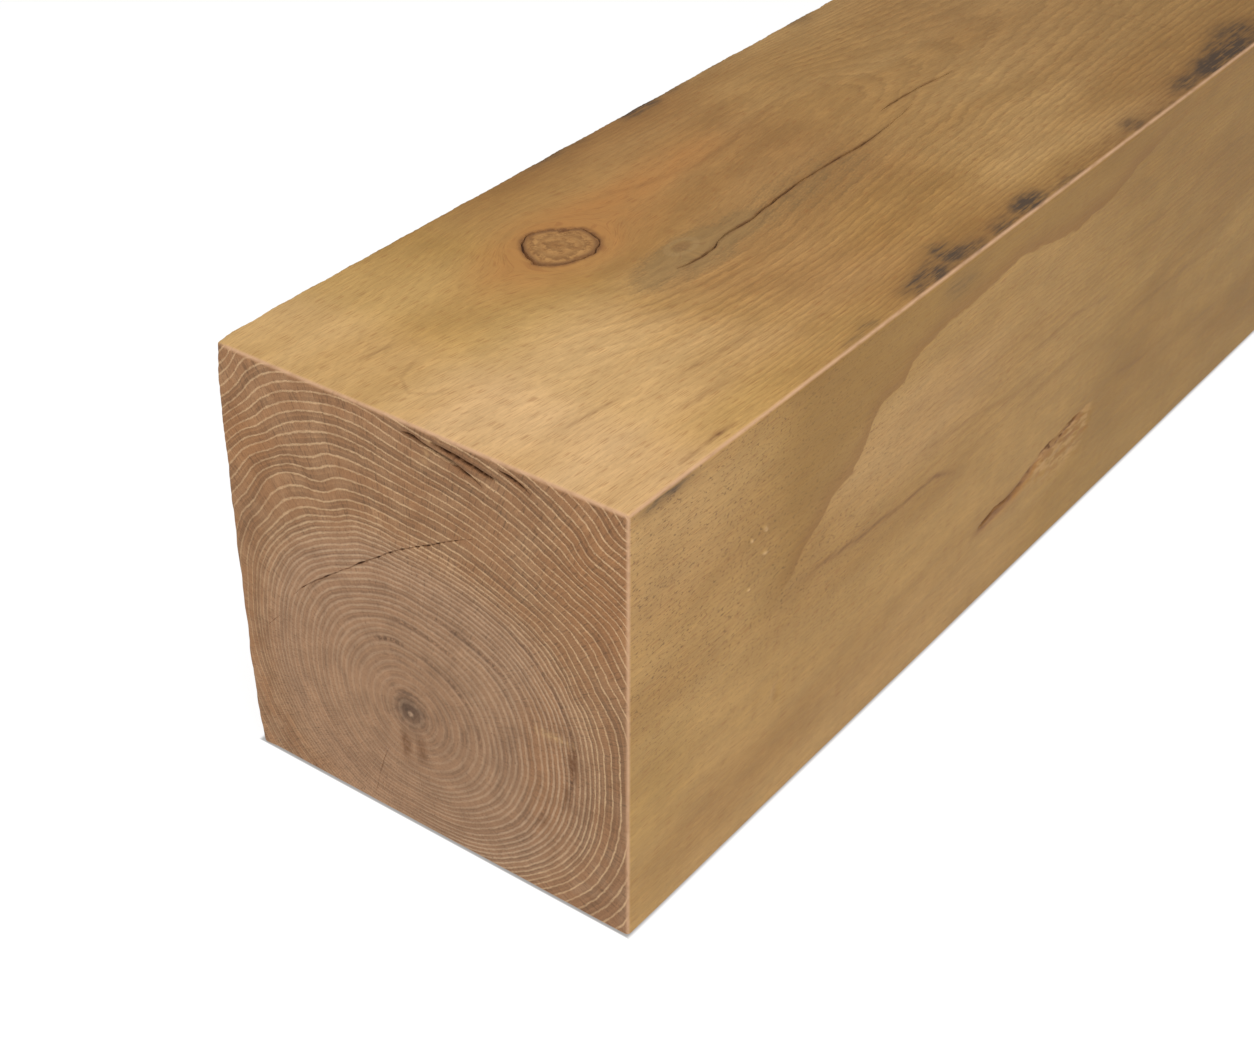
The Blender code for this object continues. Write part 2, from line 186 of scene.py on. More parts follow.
# Faint brown streaks: side, half width, strength, and the route as the side's u and v
STREAKS = (
    ("top", 1.3, 1.20, ((28, 71.0), (40, 71.5))),
    ("top", 1.3, 1.40, ((38, 71.5), (48, 71.0), (54, 71.5))),
    ("top", 1.0, 0.60, ((45, 55), (60, 56.5), (75, 57))),
    ("top", 1.1, 0.50, ((60, 44), (80, 46.5), (100, 48))),
    ("top", 0.9, 0.60, ((20, 36), (35, 37.5), (50, 39))),
    ("top", 0.9, 0.50, ((15, -33), (25, -32), (35, -31))),
    ("top", 0.9, 0.32, ((28, -21), (17, -17), (12, -10), (16, -4), (26, 0))),
    ("top", 1.8, 0.40, ((140, -42), (160, -35), (180, -31), (200, -32), (240, -38))),
    ("top", 1.2, 0.30, ((382, 11), (385, 30), (384, 49))),
    ("right", 1.5, 1.00, ((88, 78.4), (99, 79.4), (116, 77.2), (145, 75.2), (166, 75.0),
                          (180, 69.5))),
    ("right", 1.4, 0.40, ((150, 90), (190, 86), (215, 81), (240, 80))),
    ("right", 1.4, 0.35, ((225, 73), (245, 74), (300, 72), (350, 71), (400, 67))),
    ("right", 1.3, 0.35, ((230, 92), (260, 93), (290, 88))),
    ("right", 1.4, 0.30, ((300, 105), (345, 105), (380, 112), (400, 110))),
    ("right", 1.7, 0.45, ((300, 49), (325, 45), (352, 45))),
    ("right", 3.2, 1.30, ((198, 32.5), (208, 34.5), (220, 35.0), (232, 37.0), (246, 41.5))),
    ("right", 1.6, 0.50, ((255, 33), (263, 37), (271, 38.5), (277, 37))),
)
# Marks in the front end, as x and z. Dark spots: centre, radii and strength
FRONT_SPOTS = (((56, 57), (1.9, 9), 1.3), ((53.5, 44), (1.5, 5), 0.9), ((44, 29), (2.2, 4), 0.6),
               ((27, 7.7), (1.5, 3), 0.55), ((-9.0, 31.0), (2.6, 7.5), 1.2),
               ((-2.4, 32), (2.5, 6.5), 1.1), ((-63.5, 56.0), (1.5, 2.5), 0.8))
# Pale rays: route with strengths, and amount
PALE_RAYS = ((((38, 62.5, 0.3), (48, 63.3, 1.0), (60, 64.0, 1.0), (69, 64.6, 0.4)), 0.7),
             (((4.2, 136.0, 0.3), (6.0, 141.0, 1.0), (8.0, 147.0, 0.8)), 0.6))
FRONT_CHECKS = (
    ((-52.0, 69.0, 0.15), (-48.8, 72.4, 0.5), (-42.5, 78.0, 0.6), (-33.9, 84.5, 0.8),
     (-28.0, 89.0, 0.6), (-21.8, 93.7, 1.0), (-16.0, 97.9, 1.0), (-10.2, 102.2, 0.8),
     (-3.0, 106.8, 1.0), (4.1, 110.7, 0.9), (12.0, 115.4, 0.6), (17.5, 118.4, 0.7),
     (22.0, 120.5, 0.25)),
    ((-17.3, 24.5, 0.3), (-19.3, 19.0, 0.6), (-20.9, 14.0, 0.45), (-22.3, 9.0, 0.4),
     (-24.0, 3.0, 0.3)),
    ((-66.0, 50.2, 0.2), (-63.0, 53.6, 0.45), (-59.4, 57.6, 0.35)),
    ((-4.4, 25.0, 0.1), (-3.9, 19.0, 0.35), (-3.2, 12.5, 0.1)),
)
FRONT_POCKETS = (
    ((-1.0, 146.6, 0.4), (2.0, 146.3, 0.8), (5.0, 145.6, 0.5), (8.4, 144.6, 0.8),
     (12.0, 143.9, 0.8), (17.0, 142.6, 1.0), (22.4, 141.0, 0.7), (25.5, 139.9, 0.3)),
    ((9.0, 146.9, 0.4), (13.0, 146.1, 0.9), (18.0, 145.4, 1.0), (23.0, 144.8, 0.9),
     (27.0, 143.9, 1.0), (30.2, 143.6, 0.6)),
    ((33.0, 147.0, 0.4), (36.0, 146.4, 0.9), (40.0, 145.2, 0.7), (42.5, 144.0, 0.3)),
)
BACK_CHECKS = ((68, 6, 52), (195, 5, 38), (305, 6, 41))   # degrees, start and end radius
# Marks on the rough face, as distance from the front end and z
ROUGH_CHECK = ((420, 88, 0.3), (470, 90, 0.8), (540, 86, 1.0), (610, 87, 0.9), (690, 82, 0.8),
               (760, 84, 0.3))
ROUGH_KNOT = ((845.0, 62.0), (17.0, 14.0))
ROUGH_KNOT_UNEVEN = 0.06

# Grooves: half width and depth at full strength
CHECK_GROOVE = (0.45, 0.55)
TOP_GROOVE = (0.50, 1.2)
KNOT_GROOVE = (0.46, 0.8)
POCKET_GROOVE = (1.0, 1.4)
GROOVE_STEP = 1.0
RING_RELIEF = 0.11                # depth of the soft line between two rings, in the ends
RING_LINE = 0.36                  # its half width
LEVEL_RISE = 0.55                 # a groove's outermost row, in half widths past its edge


def smooth(t):
    """0 up to 0, 1 from 1 on and a smooth rise between."""
    t = np.clip(t, 0.0, 1.0)
    return t * t * (3 - 2 * t)


def fade(distance, start, stop):
    """1 up to start, 0 from stop on and a smooth fall between."""
    return 1 - smooth((distance - start) / (stop - start))


def spot(u, v, centre, radii, start, stop):
    """1 in the middle of an ellipse, with a smooth fall between two shares of its radii."""
    return fade(np.hypot((u - centre[0]) / radii[0], (v - centre[1]) / radii[1]), start, stop)


def flat(u, v):
    """Points in space from the u and v of points of a side."""
    return np.stack([u, v, u * 0], axis=1)


def curve_value(places, values, at):
    """Value at each place of a smooth curve through listed values."""
    slopes = np.zeros_like(values)
    slopes[1:-1] = (values[2:] - values[:-2]) / (places[2:] - places[:-2])
    k = np.clip(np.searchsorted(places, at, side="right") - 1, 0, len(places) - 2)
    span = places[k + 1] - places[k]
    t = (at - places[k]) / span
    return ((2 * t**3 - 3 * t**2 + 1) * values[k] + (t**3 - 2 * t**2 + t) * span * slopes[k]
            + (3 * t**2 - 2 * t**3) * values[k + 1] + (t**3 - t**2) * span * slopes[k + 1])


def along_curve(points, at, column=1):
    """A smooth curve through the listed points, read at places along the first column."""
    table = np.array(points, float)
    return curve_value(table[:, 0], table[:, column], np.clip(at, table[0, 0], table[-1, 0]))


def around_curve(points, angle):
    """A closed smooth curve through (angle, radius) points, read at angles in degrees."""
    table = np.array(points, float)
    turn = np.array((360.0, 0.0))
    table = np.concatenate([table[-2:] - turn, table, table[:2] + turn])
    start = points[0][0]
    return curve_value(table[:, 0], table[:, 1], (angle - start) % 360 + start)


def waves(points, length, seed=0.0):
    """Smooth noise from -1 to 1 at each point, with bumps of about the given length."""
    scaled = np.asarray(points, float) / length + seed
    return np.array([noise.noise(Vector(point)) for point in scaled])


def line_distance(u, v, route):
    """Distance from points to a route of (u, v) or (u, v, strength), and the strength there.

    A positive side means that the point is on the left hand of the route.
    """
    nearest = np.full(np.shape(u), np.inf)
    strength = np.zeros(np.shape(u))
    side = np.zeros(np.shape(u))
    for start, stop in zip(route, route[1:]):
        run = np.array(stop[:2], float) - start[:2]
        t = np.clip(((u - start[0]) * run[0] + (v - start[1]) * run[1]) / (run @ run), 0, 1)
        du = u - start[0] - t * run[0]
        dv = v - start[1] - t * run[1]
        distance = np.hypot(du, dv)
        near = distance < nearest
        nearest = np.where(near, distance, nearest)
        side = np.where(near, np.sign(run[0] * dv - run[1] * du), side)
        if len(start) > 2:
            strength = np.where(near, start[2] + (stop[2] - start[2]) * t, strength)
    return nearest, strength, side


def resample(route, step):
    """The route's points at even steps, as rows of u, v and strength."""
    route = np.array([tuple(point) + (1.0,) * (3 - len(point)) for point in route], float)
    reach = np.concatenate([[0], np.cumsum(np.hypot(*np.diff(route[:, :2], axis=0).T))])
    at = np.linspace(0, reach[-1], max(2, round(reach[-1] / step) + 1))
    return np.stack([curve_value(reach, route[:, i], at) for i in range(3)], axis=1)


def outline_route(centre, outline, count=72):
    """A closed route from (angle, radius) points round a centre."""
    angle = np.linspace(0, 360, count + 1)
    radius = around_curve(outline, angle)
    return np.stack([centre[0] + radius * np.cos(np.radians(angle)),
                     centre[1] + radius * np.sin(np.radians(angle)),
                     np.ones(count + 1)], axis=1)


def ellipse_outline(radii, unevenness, count=24):
    """An ellipse with a slow unevenness, as (angle, radius) points."""
    outline = []
    for i in range(count):
        turn = 2 * math.pi * i / count
        size = 1 + unevenness * (math.sin(2 * turn + 0.6) + 0.5 * math.sin(5 * turn))
        reach = 1 / math.hypot(math.cos(turn) / radii[0], math.sin(turn) / radii[1])
        outline.append((math.degrees(turn), size * reach))
    return outline


def outline_ratio(u, v, centre, outline):
    """Distance of points from a knot's centre, 1 on its outline and no more than 4."""
    angle = np.degrees(np.arctan2(v - centre[1], u - centre[0]))
    reach = np.hypot(u - centre[0], v - centre[1])
    return np.minimum(reach / around_curve(outline, angle), 4.0)


def jagged(route, amount, length, seed):
    """The route with its points moved a little from side to side."""
    route = np.array(route, float)
    across = np.gradient(route[:, :2], axis=0)
    across = np.stack([-across[:, 1], across[:, 0]], axis=1)
    across /= np.linalg.norm(across, axis=1)[:, None]
    route[:, :2] += across * (amount * waves(flat(*route.T[:2]), length, seed))[:, None]
    return route


def build_grooves():
    """Every groove: its side, route, half width and depth."""
    grooves = [("front", jagged(resample(route, GROOVE_STEP), 0.25, 4, 3.1), *CHECK_GROOVE)
               for route in FRONT_CHECKS]
    for _, route, _, _ in grooves:
        route[:, 2] *= np.clip(0.85 + 1.3 * waves(flat(*route.T[:2]), 2.3, 5.0), 0.3, 1.35)
    grooves += [("front", jagged(resample(route, GROOVE_STEP), 0.25, 5, 5.7), *POCKET_GROOVE)
                for route in FRONT_POCKETS]
    grooves += [("top", jagged(resample(route, GROOVE_STEP), 0.35, 5, 1.3), *TOP_GROOVE)
                for route in TOP_CHECKS]
    grooves += [("top", resample(route, 0.7), 0.9, 1.6) for route in KNOT_HOLES]
    knot = jagged(outline_route(KNOT_CENTRE, KNOT_OUTLINE), 0.9, 3.5, 2.2)
    knot[:, 2] = 0.72 + 0.5 * smooth((KNOT_CENTRE[0] - knot[:, 0] - 3) / 9)
    knot[:, 2] += 0.45 * waves(flat(*knot.T[:2]), 3.0, 7.3)
    knot[-1] = knot[0]
    grooves.append(("top", knot, *KNOT_GROOVE))
    pith = pith_place(LENGTH)
    for angle, start, stop in BACK_CHECKS:
        way = np.array((math.cos(math.radians(angle)), math.sin(math.radians(angle))))
        ends = [tuple(pith + way * radius) + (strength,)
                for radius, strength in ((start, 0.3), ((start + stop) / 2, 1.0), (stop, 0.2))]
        grooves.append(("back", jagged(resample(ends, 1.4), 0.8, 6, 8.8), 0.5, 2.0))
    grooves.append(("left", jagged(resample(ROUGH_CHECK, 2.5), 1.2, 12, 4.4), 0.7, 2.0))
    rough = jagged(outline_route(ROUGH_KNOT[0],
                                 ellipse_outline(ROUGH_KNOT[1], ROUGH_KNOT_UNEVEN)),
                   0.6, 6, 6.1)
    rough[-1] = rough[0]
    grooves.append(("left", rough, 0.6, 1.2))
    return grooves


def pith_place(along):
    """x and z of the pith at distances from the front end."""
    return np.array([along_curve(PITH, along, 1), along_curve(PITH, along, 2)])


def around_knot(u, v, centre, radius):
    """How far the grain at each point of the top face was pushed aside by a knot."""
    du = (u - centre[0]) * 0.8
    dv = v - centre[1]
    reach = np.maximum(np.hypot(du, dv), radius)
    return -dv * (radius / reach)**2


def grain_place(points):
    """Where the wood at each point would be in a straight-grained log."""
    x, along, z = points.T
    under_top = smooth((z - 70) / 80)
    shift = around_knot(along, x, KNOT_CENTRE, 14.5)
    shift += around_knot(along, x + shift, PIN_KNOT[0], 4.0)
    drift = along_curve(TOP_DRIFT, along)
    shift += drift * np.exp(-((x + drift - pith_place(along)[0]) / TOP_DRIFT_REACH)**2)
    return np.stack([x + shift * under_top, along, z], axis=1)


def ring_size(points):
    """Size of the growth ring that passes through each point, in millimetres."""
    place = grain_place(points)
    pith = pith_place(place[:, 1])
    dx = place[:, 0] - pith[0]
    dz = place[:, 2] - pith[1]
    radius = np.hypot(dx, dz)
    angle = np.degrees(np.arctan2(dz, dx))
    sizes = [0.0] + sorted(RING_SHAPES)
    radii = [np.zeros_like(radius)] + [around_curve(RING_SHAPES[s], angle) for s in sizes[1:]]
    size = radius * sizes[-1] / radii[-1]
    for k in range(len(sizes) - 2, -1, -1):
        inside = radius < radii[k + 1]
        share = (radius - radii[k]) / (radii[k + 1] - radii[k])
        size = np.where(inside, sizes[k] + share * (sizes[k + 1] - sizes[k]), size)
    turn = (angle - SWELL_ANGLE[0] + 180) % 360 - 180
    swell = along_curve(SWELL, place[:, 1]) * np.exp(-(turn / SWELL_ANGLE[1])**2)
    size = size * (1 - swell / 105)
    calm = smooth(size / 30)
    (cu, cv), (ru, rv), extra = CURLY_WOOD
    calm = calm * (1 + extra * fade(np.hypot((points[:, 0] - cu) / ru,
                                             (points[:, 2] - cv) / rv), 0.3, 1.0))
    stretched = points * (1.0, 0.12, 1.0)
    for amount, length in RING_WAVES:
        size = size + amount * calm * waves(stretched, length, length)
    return size


def ring_sizes():
    """Sizes of all the ring lines, from the pith outwards."""
    draw = random.Random(11)
    first, step, last = BARK_RINGS
    past = [first + step * i + draw.uniform(-RING_JITTER, RING_JITTER)
            for i in range(int((last - first) / step) + 1)]
    return np.array(list(RING_SIZES) + past)


def ring_line_gap(size):
    """Distance from each ring size to the nearest ring line."""
    return np.abs(size[:, None] - ring_sizes()[None, :]).min(axis=1)


def ring_chains(along, spacing, plain_below):
    """Routes along the ring lines of an end, as x and z, where the surface gets its points."""
    sizes = ring_sizes()
    pith = pith_place(along)
    routes = []
    for i, size in enumerate(sizes[:-1]):
        step = sizes[i + 1] - size
        levels = [size - RING_LINE, size, size + RING_LINE]
        if step > 1.5:
            levels.append(size + step / 2)
        if size < plain_below:
            levels = [size, size + step / 2]
        count = max(12, round(2 * math.pi * size / spacing))
        angle = np.radians(np.arange(count + 1) * 360 / count)
        for level in levels:
            radius = np.full(count + 1, float(level))
            for _ in range(5):
                spots = np.stack([pith[0] + radius * np.cos(angle), np.full(count + 1, along),
                                  pith[1] + radius * np.sin(angle)], axis=1)
                radius = np.clip(radius + (level - ring_size(spots)) * 0.9, 1.0, 400)
            routes.append(np.stack([pith[0] + radius * np.cos(angle),
                                    pith[1] + radius * np.sin(angle)], axis=1))
    return routes


def edge_rows(axis, at_end):
    """Distances of the rows of points beside the arris at one end of an axis."""
    return SAWN_ROWS if axis == 0 and not at_end else ARRIS_ROWS


def edge_places(axis, spacing):
    """Places of the points along an arris that runs along an axis."""
    low, high = BOX_LOW[axis], BOX_HIGH[axis]
    start = [low + row for row in edge_rows(axis, False)]
    stop = [high - row for row in edge_rows(axis, True)]
    places = [start[-1]]
    while places[-1] < stop[-1]:
        places.append(places[-1] + spacing(places[-1]))
    places = np.array(places)
    places = start[-1] + (places - start[-1]) * (stop[-1] - start[-1]) / (places[-1] - start[-1])
    return np.concatenate([start[:-1], places, stop[-2::-1]])


def arris_spacing(axis, other):
    """Spacing of points along an arris, from its axis and the sides that meet there."""
    if axis != 1:
        return lambda place: 1.1 if "front" in other else 4.0
    near, far = {"top right": (2.6, 9), "top left": (1.3, 6), "bottom right": (5, 12),
                 "bottom left": (4, 9)}[other]
    return lambda place: near + (far - near) * float(smooth((place - SEEN) / 150))


def side_edges(name):
    """The four arrises of a side: axis, fixed axis, the fixed value and the spacing."""
    i, j, _, _ = SIDES[name]
    edges = []
    for axis, across in ((i, j), (j, i)):
        for at_end in (False, True):
            neighbour = next(side for side, (_, _, fixed, place) in SIDES.items()
                             if fixed == across and (place > BOX_LOW[across]) == at_end)
            pair = sorted((name, neighbour), key=ARRIS_NAME_ORDER.index)
            edges.append((axis, across, at_end, arris_spacing(axis, " ".join(pair))))
    return edges


def point_spacing(name, u, v, reach, grooves):
    """Wanted spacing of the points of a side, along u and along v."""
    if name in ("front", "back"):
        base = 2.0 if name == "front" else 4.0
        return np.full(u.shape, base), np.full(u.shape, base)
    past = smooth((u - SEEN - reach) / 150)
    if name in ("top", "right"):
        su, sv = 7 + 8 * past, 5.1 + 3 * past
    elif name == "left":
        at_arris = np.minimum(u, np.minimum(SECTION - v, v + 4)) - reach
        fine = np.where(u < SEEN + 40, smooth((at_arris - 1) / 8), 1)
        su, sv = 1.6 + 4.6 * fine + 2.0 * past, 1.6 + 3.8 * fine + 1.5 * past
    else:
        su, sv = np.full(u.shape, 14.0), np.full(u.shape, 10.0)
    near = feature_distance(name, u, v, grooves) - reach
    fine = 0.5 + 0.32 * np.maximum(near, 0)
    return np.minimum(su, fine * 1.4), np.minimum(sv, fine)


def feature_distance(name, u, v, grooves):
    """Distance to the nearest mark of a long side that needs fine points."""
    nearest = np.full(u.shape, np.inf)
    for side, route, _, _ in grooves:
        if side == name:
            nearest = np.minimum(nearest, line_distance(u, v, route[::3])[0] + 0.3)
    for side, half_width, _, route in STREAKS:
        if side == name:
            nearest = np.minimum(nearest, line_distance(u, v, route)[0] + 2 * half_width)
    if name == "right":
        nearest = np.minimum(nearest, line_distance(u, v + 2.5, SIDE_TEAR)[0] - 3.5)
        nearest = np.minimum(nearest, line_distance(u, v, DAMP_EDGE)[0] + 4.0)
        for cu, cv, _, length in SIDE_CHIPS:
            nearest = np.minimum(nearest, np.hypot(u - cu, v - cv) - length)
        (cu, cv), (ru, rv) = SIDE_PIN_KNOT
        nearest = np.minimum(nearest, np.hypot(u - cu, v - cv) - rv + 1)
    if name == "left":
        (cu, cv), (ru, rv) = ROUGH_KNOT
        nearest = np.minimum(nearest, np.maximum(np.hypot(u - cu, v - cv) - ru, 0.0) + 2.5)
    if name == "top":
        (cu, cv), (ru, rv) = PIN_KNOT
        nearest = np.minimum(nearest, np.hypot(u - cu, v - cv) - ru)
        nearest = np.minimum(nearest, np.hypot(u - KNOT_CENTRE[0], v - KNOT_CENTRE[1]) - 14)
    return nearest


def grid_points(name, grooves):
    """Points of a side on a grid that is split until it has the wanted spacing."""
    i, j, _, _ = SIDES[name]
    u_cuts = np.linspace(BOX_LOW[i], BOX_HIGH[i], round((BOX_HIGH[i] - BOX_LOW[i]) / 12) + 1)
    v_cuts = np.linspace(BOX_LOW[j], BOX_HIGH[j], round((BOX_HIGH[j] - BOX_LOW[j]) / 12) + 1)
    u0, v0 = (corner.ravel() for corner in np.meshgrid(u_cuts[:-1], v_cuts[:-1], indexing="ij"))
    u1, v1 = (corner.ravel() for corner in np.meshgrid(u_cuts[1:], v_cuts[1:], indexing="ij"))
    done = []
    while len(u0):
        reach = np.hypot(u1 - u0, v1 - v0) / 2
        su, sv = point_spacing(name, (u0 + u1) / 2, (v0 + v1) / 2, reach, grooves)
        split_u = (u1 - u0) > su * 1.2
        split_v = ((v1 - v0) > sv * 1.2) & ~split_u
        keep = ~(split_u | split_v)
        done += [np.stack(c, axis=1) for c in ((u0[keep], v0[keep]), (u1[keep], v0[keep]),
                                               (u0[keep], v1[keep]), (u1[keep], v1[keep]))]
        um, vm = (u0 + u1) / 2, (v0 + v1) / 2
        u0, u1, v0, v1 = (
            np.concatenate(parts) for parts in (
                (u0[split_u], um[split_u], u0[split_v], u0[split_v]),
                (um[split_u], u1[split_u], u1[split_v], u1[split_v]),
                (v0[split_u], v0[split_u], v0[split_v], vm[split_v]),
                (v1[split_u], v1[split_u], vm[split_v], v1[split_v])))
    return np.unique(np.round(np.concatenate(done), 4), axis=0)


def groove_rows(route, half_width):
    """The rows of points along a groove: its bottom, its edges and just outside them."""
    run = np.gradient(route[:, :2], axis=0)
    if np.allclose(route[0, :2], route[-1, :2]):
        run[0] = run[-1] = (route[1, :2] - route[-2, :2]) / 2
    across = np.stack([-run[:, 1], run[:, 0]], axis=1) / np.linalg.norm(run, axis=1)[:, None]
    return [route[:, :2] + across * (half_width * offset) * route[:, 2:3]
            for offset in (-1 - LEVEL_RISE, -1, 0, 1, 1 + LEVEL_RISE)]


def triangulate_side(name, grooves):
    """Points (u, v) of a side and the triangles between them."""
    i, j, _, _ = SIDES[name]
    low = (BOX_LOW[i] + edge_rows(i, False)[-1], BOX_LOW[j] + edge_rows(j, False)[-1])
    high = (BOX_HIGH[i] - edge_rows(i, True)[-1], BOX_HIGH[j] - edge_rows(j, True)[-1])

    def inside(points, margin):
        """Which points are off the strips beside the arrises."""
        return ((points[:, 0] > low[0] + margin) & (points[:, 0] < high[0] - margin)
                & (points[:, 1] > low[1] + margin) & (points[:, 1] < high[1] - margin))

    fixed, edges = [], []

    def add_chain(points, keep, closed=False):
        """Points in a row, joined by edges where both ends are kept."""
        start = sum(len(block) for block in fixed)
        index = np.cumsum(keep) - 1 + start
        fixed.append(points[keep])
        joined = keep[:-1] & keep[1:]
        edges.extend(zip(index[:-1][joined].tolist(), index[1:][joined].tolist()))
        if closed:
            edges.append((int(index[-1]), int(index[0])))

    for axis, across, at_end, spacing in side_edges(name):
        places = edge_places(axis, spacing)
        for row in edge_rows(across, at_end):
            place = BOX_HIGH[across] - row if at_end else BOX_LOW[across] + row
            block = np.empty((len(places), 2))
            block[:, 0 if axis == i else 1] = places
            block[:, 1 if axis == i else 0] = place
            fixed.append(block)

    groove_clear = []
    for side, route, half_width, _ in grooves:
        if side != name:
            continue
        rows = groove_rows(route, half_width)
        closed = np.allclose(route[0, :2], route[-1, :2])
        for row in rows:
            row = row[:-1] if closed else row
            add_chain(row, inside(row, 0.1), closed)
        groove_clear.append((route, half_width))

    def clear_of_grooves(points, gap):
        """Which points lie farther than the gap from every groove of this side."""
        keep = np.ones(len(points), bool)
        for route, half_width in groove_clear:
            distance, strength, _ = line_distance(points[:, 0], points[:, 1], route)
            keep &= distance > half_width * (1 + LEVEL_RISE) * np.maximum(strength, 0.2) + gap
        return keep

    if name in ("front", "back"):
        along = SIDES[name][3]
        spacing, plain_below = (2.1, 0) if name == "front" else (3.4, 400)
        for route in ring_chains(along, spacing, plain_below):
            keep = inside(route, 0.55)
            if keep.any():
                keep[keep] = clear_of_grooves(route[keep], 0.3)
            add_chain(route[:-1], keep[:-1])

    grid = grid_points(name, grooves)
    grid = grid[inside(grid, 0.5)]
    grid = grid[clear_of_grooves(grid, 0.35)]
    points = np.concatenate(fixed)
    tree = kdtree.KDTree(len(points))
    for n, (u, v) in enumerate(points):
        tree.insert((u, v, 0), n)
    tree.balance()
    gap = 0.75 if name in ("front", "back") else 0.3
    keep = [tree.find((u, v, 0))[2] > gap for u, v in grid]
    points = np.concatenate([points, grid[keep]])
    result = delaunay_2d_cdt([Vector(point) for point in points], edges, [], 0, 0.002, False)
    return np.array([tuple(vert) for vert in result[0]]), np.array(result[2])


def box_surface(grooves):
    """The sharp box: unique points, triangles, and each corner's side and (u, v)."""
    points, triangles, corner_uv, corner_side = [], [], [], []
    start = 0
    for number, name in enumerate(SIDES):
        uv, faces = triangulate_side(name, grooves)
        i, j, k, value = SIDES[name]
        block = np.empty((len(uv), 3))
        block[:, i], block[:, j], block[:, k] = uv[:, 0], uv[:, 1], value
        if name in SIDES_TO_FLIP:
            faces = faces[:, ::-1]
        points.append(block)
        triangles.append(faces + start)
        corner_uv.append(uv[faces].reshape(-1, 2))
        corner_side.append(np.full(faces.size, number))
        start += len(uv)
    points = np.concatenate(points)
    _, first, merged = np.unique(np.round(points, 2), axis=0, return_index=True,
                                 return_inverse=True)
    corners = merged.ravel()[np.concatenate(triangles)]
    whole = (corners != np.roll(corners, 1, axis=1)).all(axis=1)
    kept = np.repeat(whole, 3)
    return (points[first], corners[whole], np.concatenate(corner_uv)[kept],
            np.concatenate(corner_side)[kept])


def on_side(points, name):
    """Which points lie on a side of the sharp box, and their u and v."""
    i, j, k, value = SIDES[name]
    mask = np.abs(points[:, k] - value) < ON_SIDE
    return mask, points[mask, i], points[mask, j]


def tear_profile(u, v):
    """Depth, brightness and painted shade of the torn knot in the right face; the shade darkens
    its slit.
    """
    distance, strength, side = line_distance(u, v, SIDE_TEAR)
    rough = 1 + 0.35 * waves(flat(u * 0.4, v), 2.0, 9.0)
    window = smooth((u - 200) / 6) * (1 - smooth((u - 284) / 10))
    below = np.where(side < 0, distance, 0)
    cavity = np.maximum(along_curve(TEAR_CAVITY, u), 0.3)
    lip = np.maximum(along_curve(TEAR_LIP, u) * rough, 0.5)
    depth = np.maximum(cavity * TEAR_SLOPE * np.clip(1 - below / cavity, 0, 1),
                       TEAR_LIP_DEPTH * np.clip(1 - below / lip, 0, 1) * rough)
    depth = np.where(side < 0, depth * window, depth * np.clip(1 - distance / 0.4, 0, 1) * window)
    dark = np.where(side < 0, fade(below / cavity, 0.62, 0.88), np.clip(1 - distance / 0.4, 0, 1))
    patch = smooth((1 - below / lip) * 2.2) * smooth((u - 232) / 16) * window * (side < 0)
    return depth, patch, dark * strength


def chip_spot(u, v, chip, width):
    """1 in the middle of a chip and 0 outside it; its width is a share of its length."""
    cu, cv, angle, length = chip
    turn = math.radians(angle)
    du = (u - cu) * math.cos(turn) + (v - cv) * math.sin(turn)
    dv = -(u - cu) * math.sin(turn) + (v - cv) * math.cos(turn)
    return fade(np.hypot(du / length, dv / (length * width)), 0.3, 1.0)


def relief(points, grooves, size):
    """How deep each point lies below the plain box, and how much painted shade its groove gets.
    """
    depth = np.zeros(len(points))
    dark = np.zeros(len(points))
    for name, route, half_width, groove_depth in grooves:
        mask, u, v = on_side(points, name)
        distance, strength, _ = line_distance(u, v, route)
        across = np.clip(1 - distance / (half_width * np.maximum(strength, 0.12)), 0, 1)
        depth[mask] = np.maximum(depth[mask], across * groove_depth * strength)
        # painted shade inside the groove, on top of its real depth
        dark[mask] = np.maximum(dark[mask], across * np.clip(strength * 1.15, 0, 1))
    line = fade(ring_line_gap(size), 0, RING_LINE * 1.2) * smooth((size - 3) / 8)
    for name in ("front", "back"):
        mask, u, v = on_side(points, name)
        from_arris = np.minimum(HALF_WIDTH - np.abs(u), np.minimum(v, SECTION - v))
        in_field = smooth((from_arris - 1.5) / 1.5)
        depth[mask] += RING_RELIEF * line[mask] * in_field
    mask, u, v = on_side(points, "right")
    torn, _, slit_shade = tear_profile(u, v)
    depth[mask] = np.maximum(depth[mask], torn)
    # painted shade in the torn knot's slit, on top of its real cavity
    dark[mask] = np.maximum(dark[mask], 0.40 * slit_shade)
    for chip in SIDE_CHIPS:
        depth[mask] -= CHIP_RISE * chip_spot(u, v, chip, 0.45)
    depth[mask] += 0.45 * spot(u, v, *SIDE_PIN_KNOT, 0.2, 1.0)
    mask, u, v = on_side(points, "top")
    depth[mask] += 0.2 * spot(u, v, *PIN_KNOT, 0.5, 1.1)
    return depth, dark


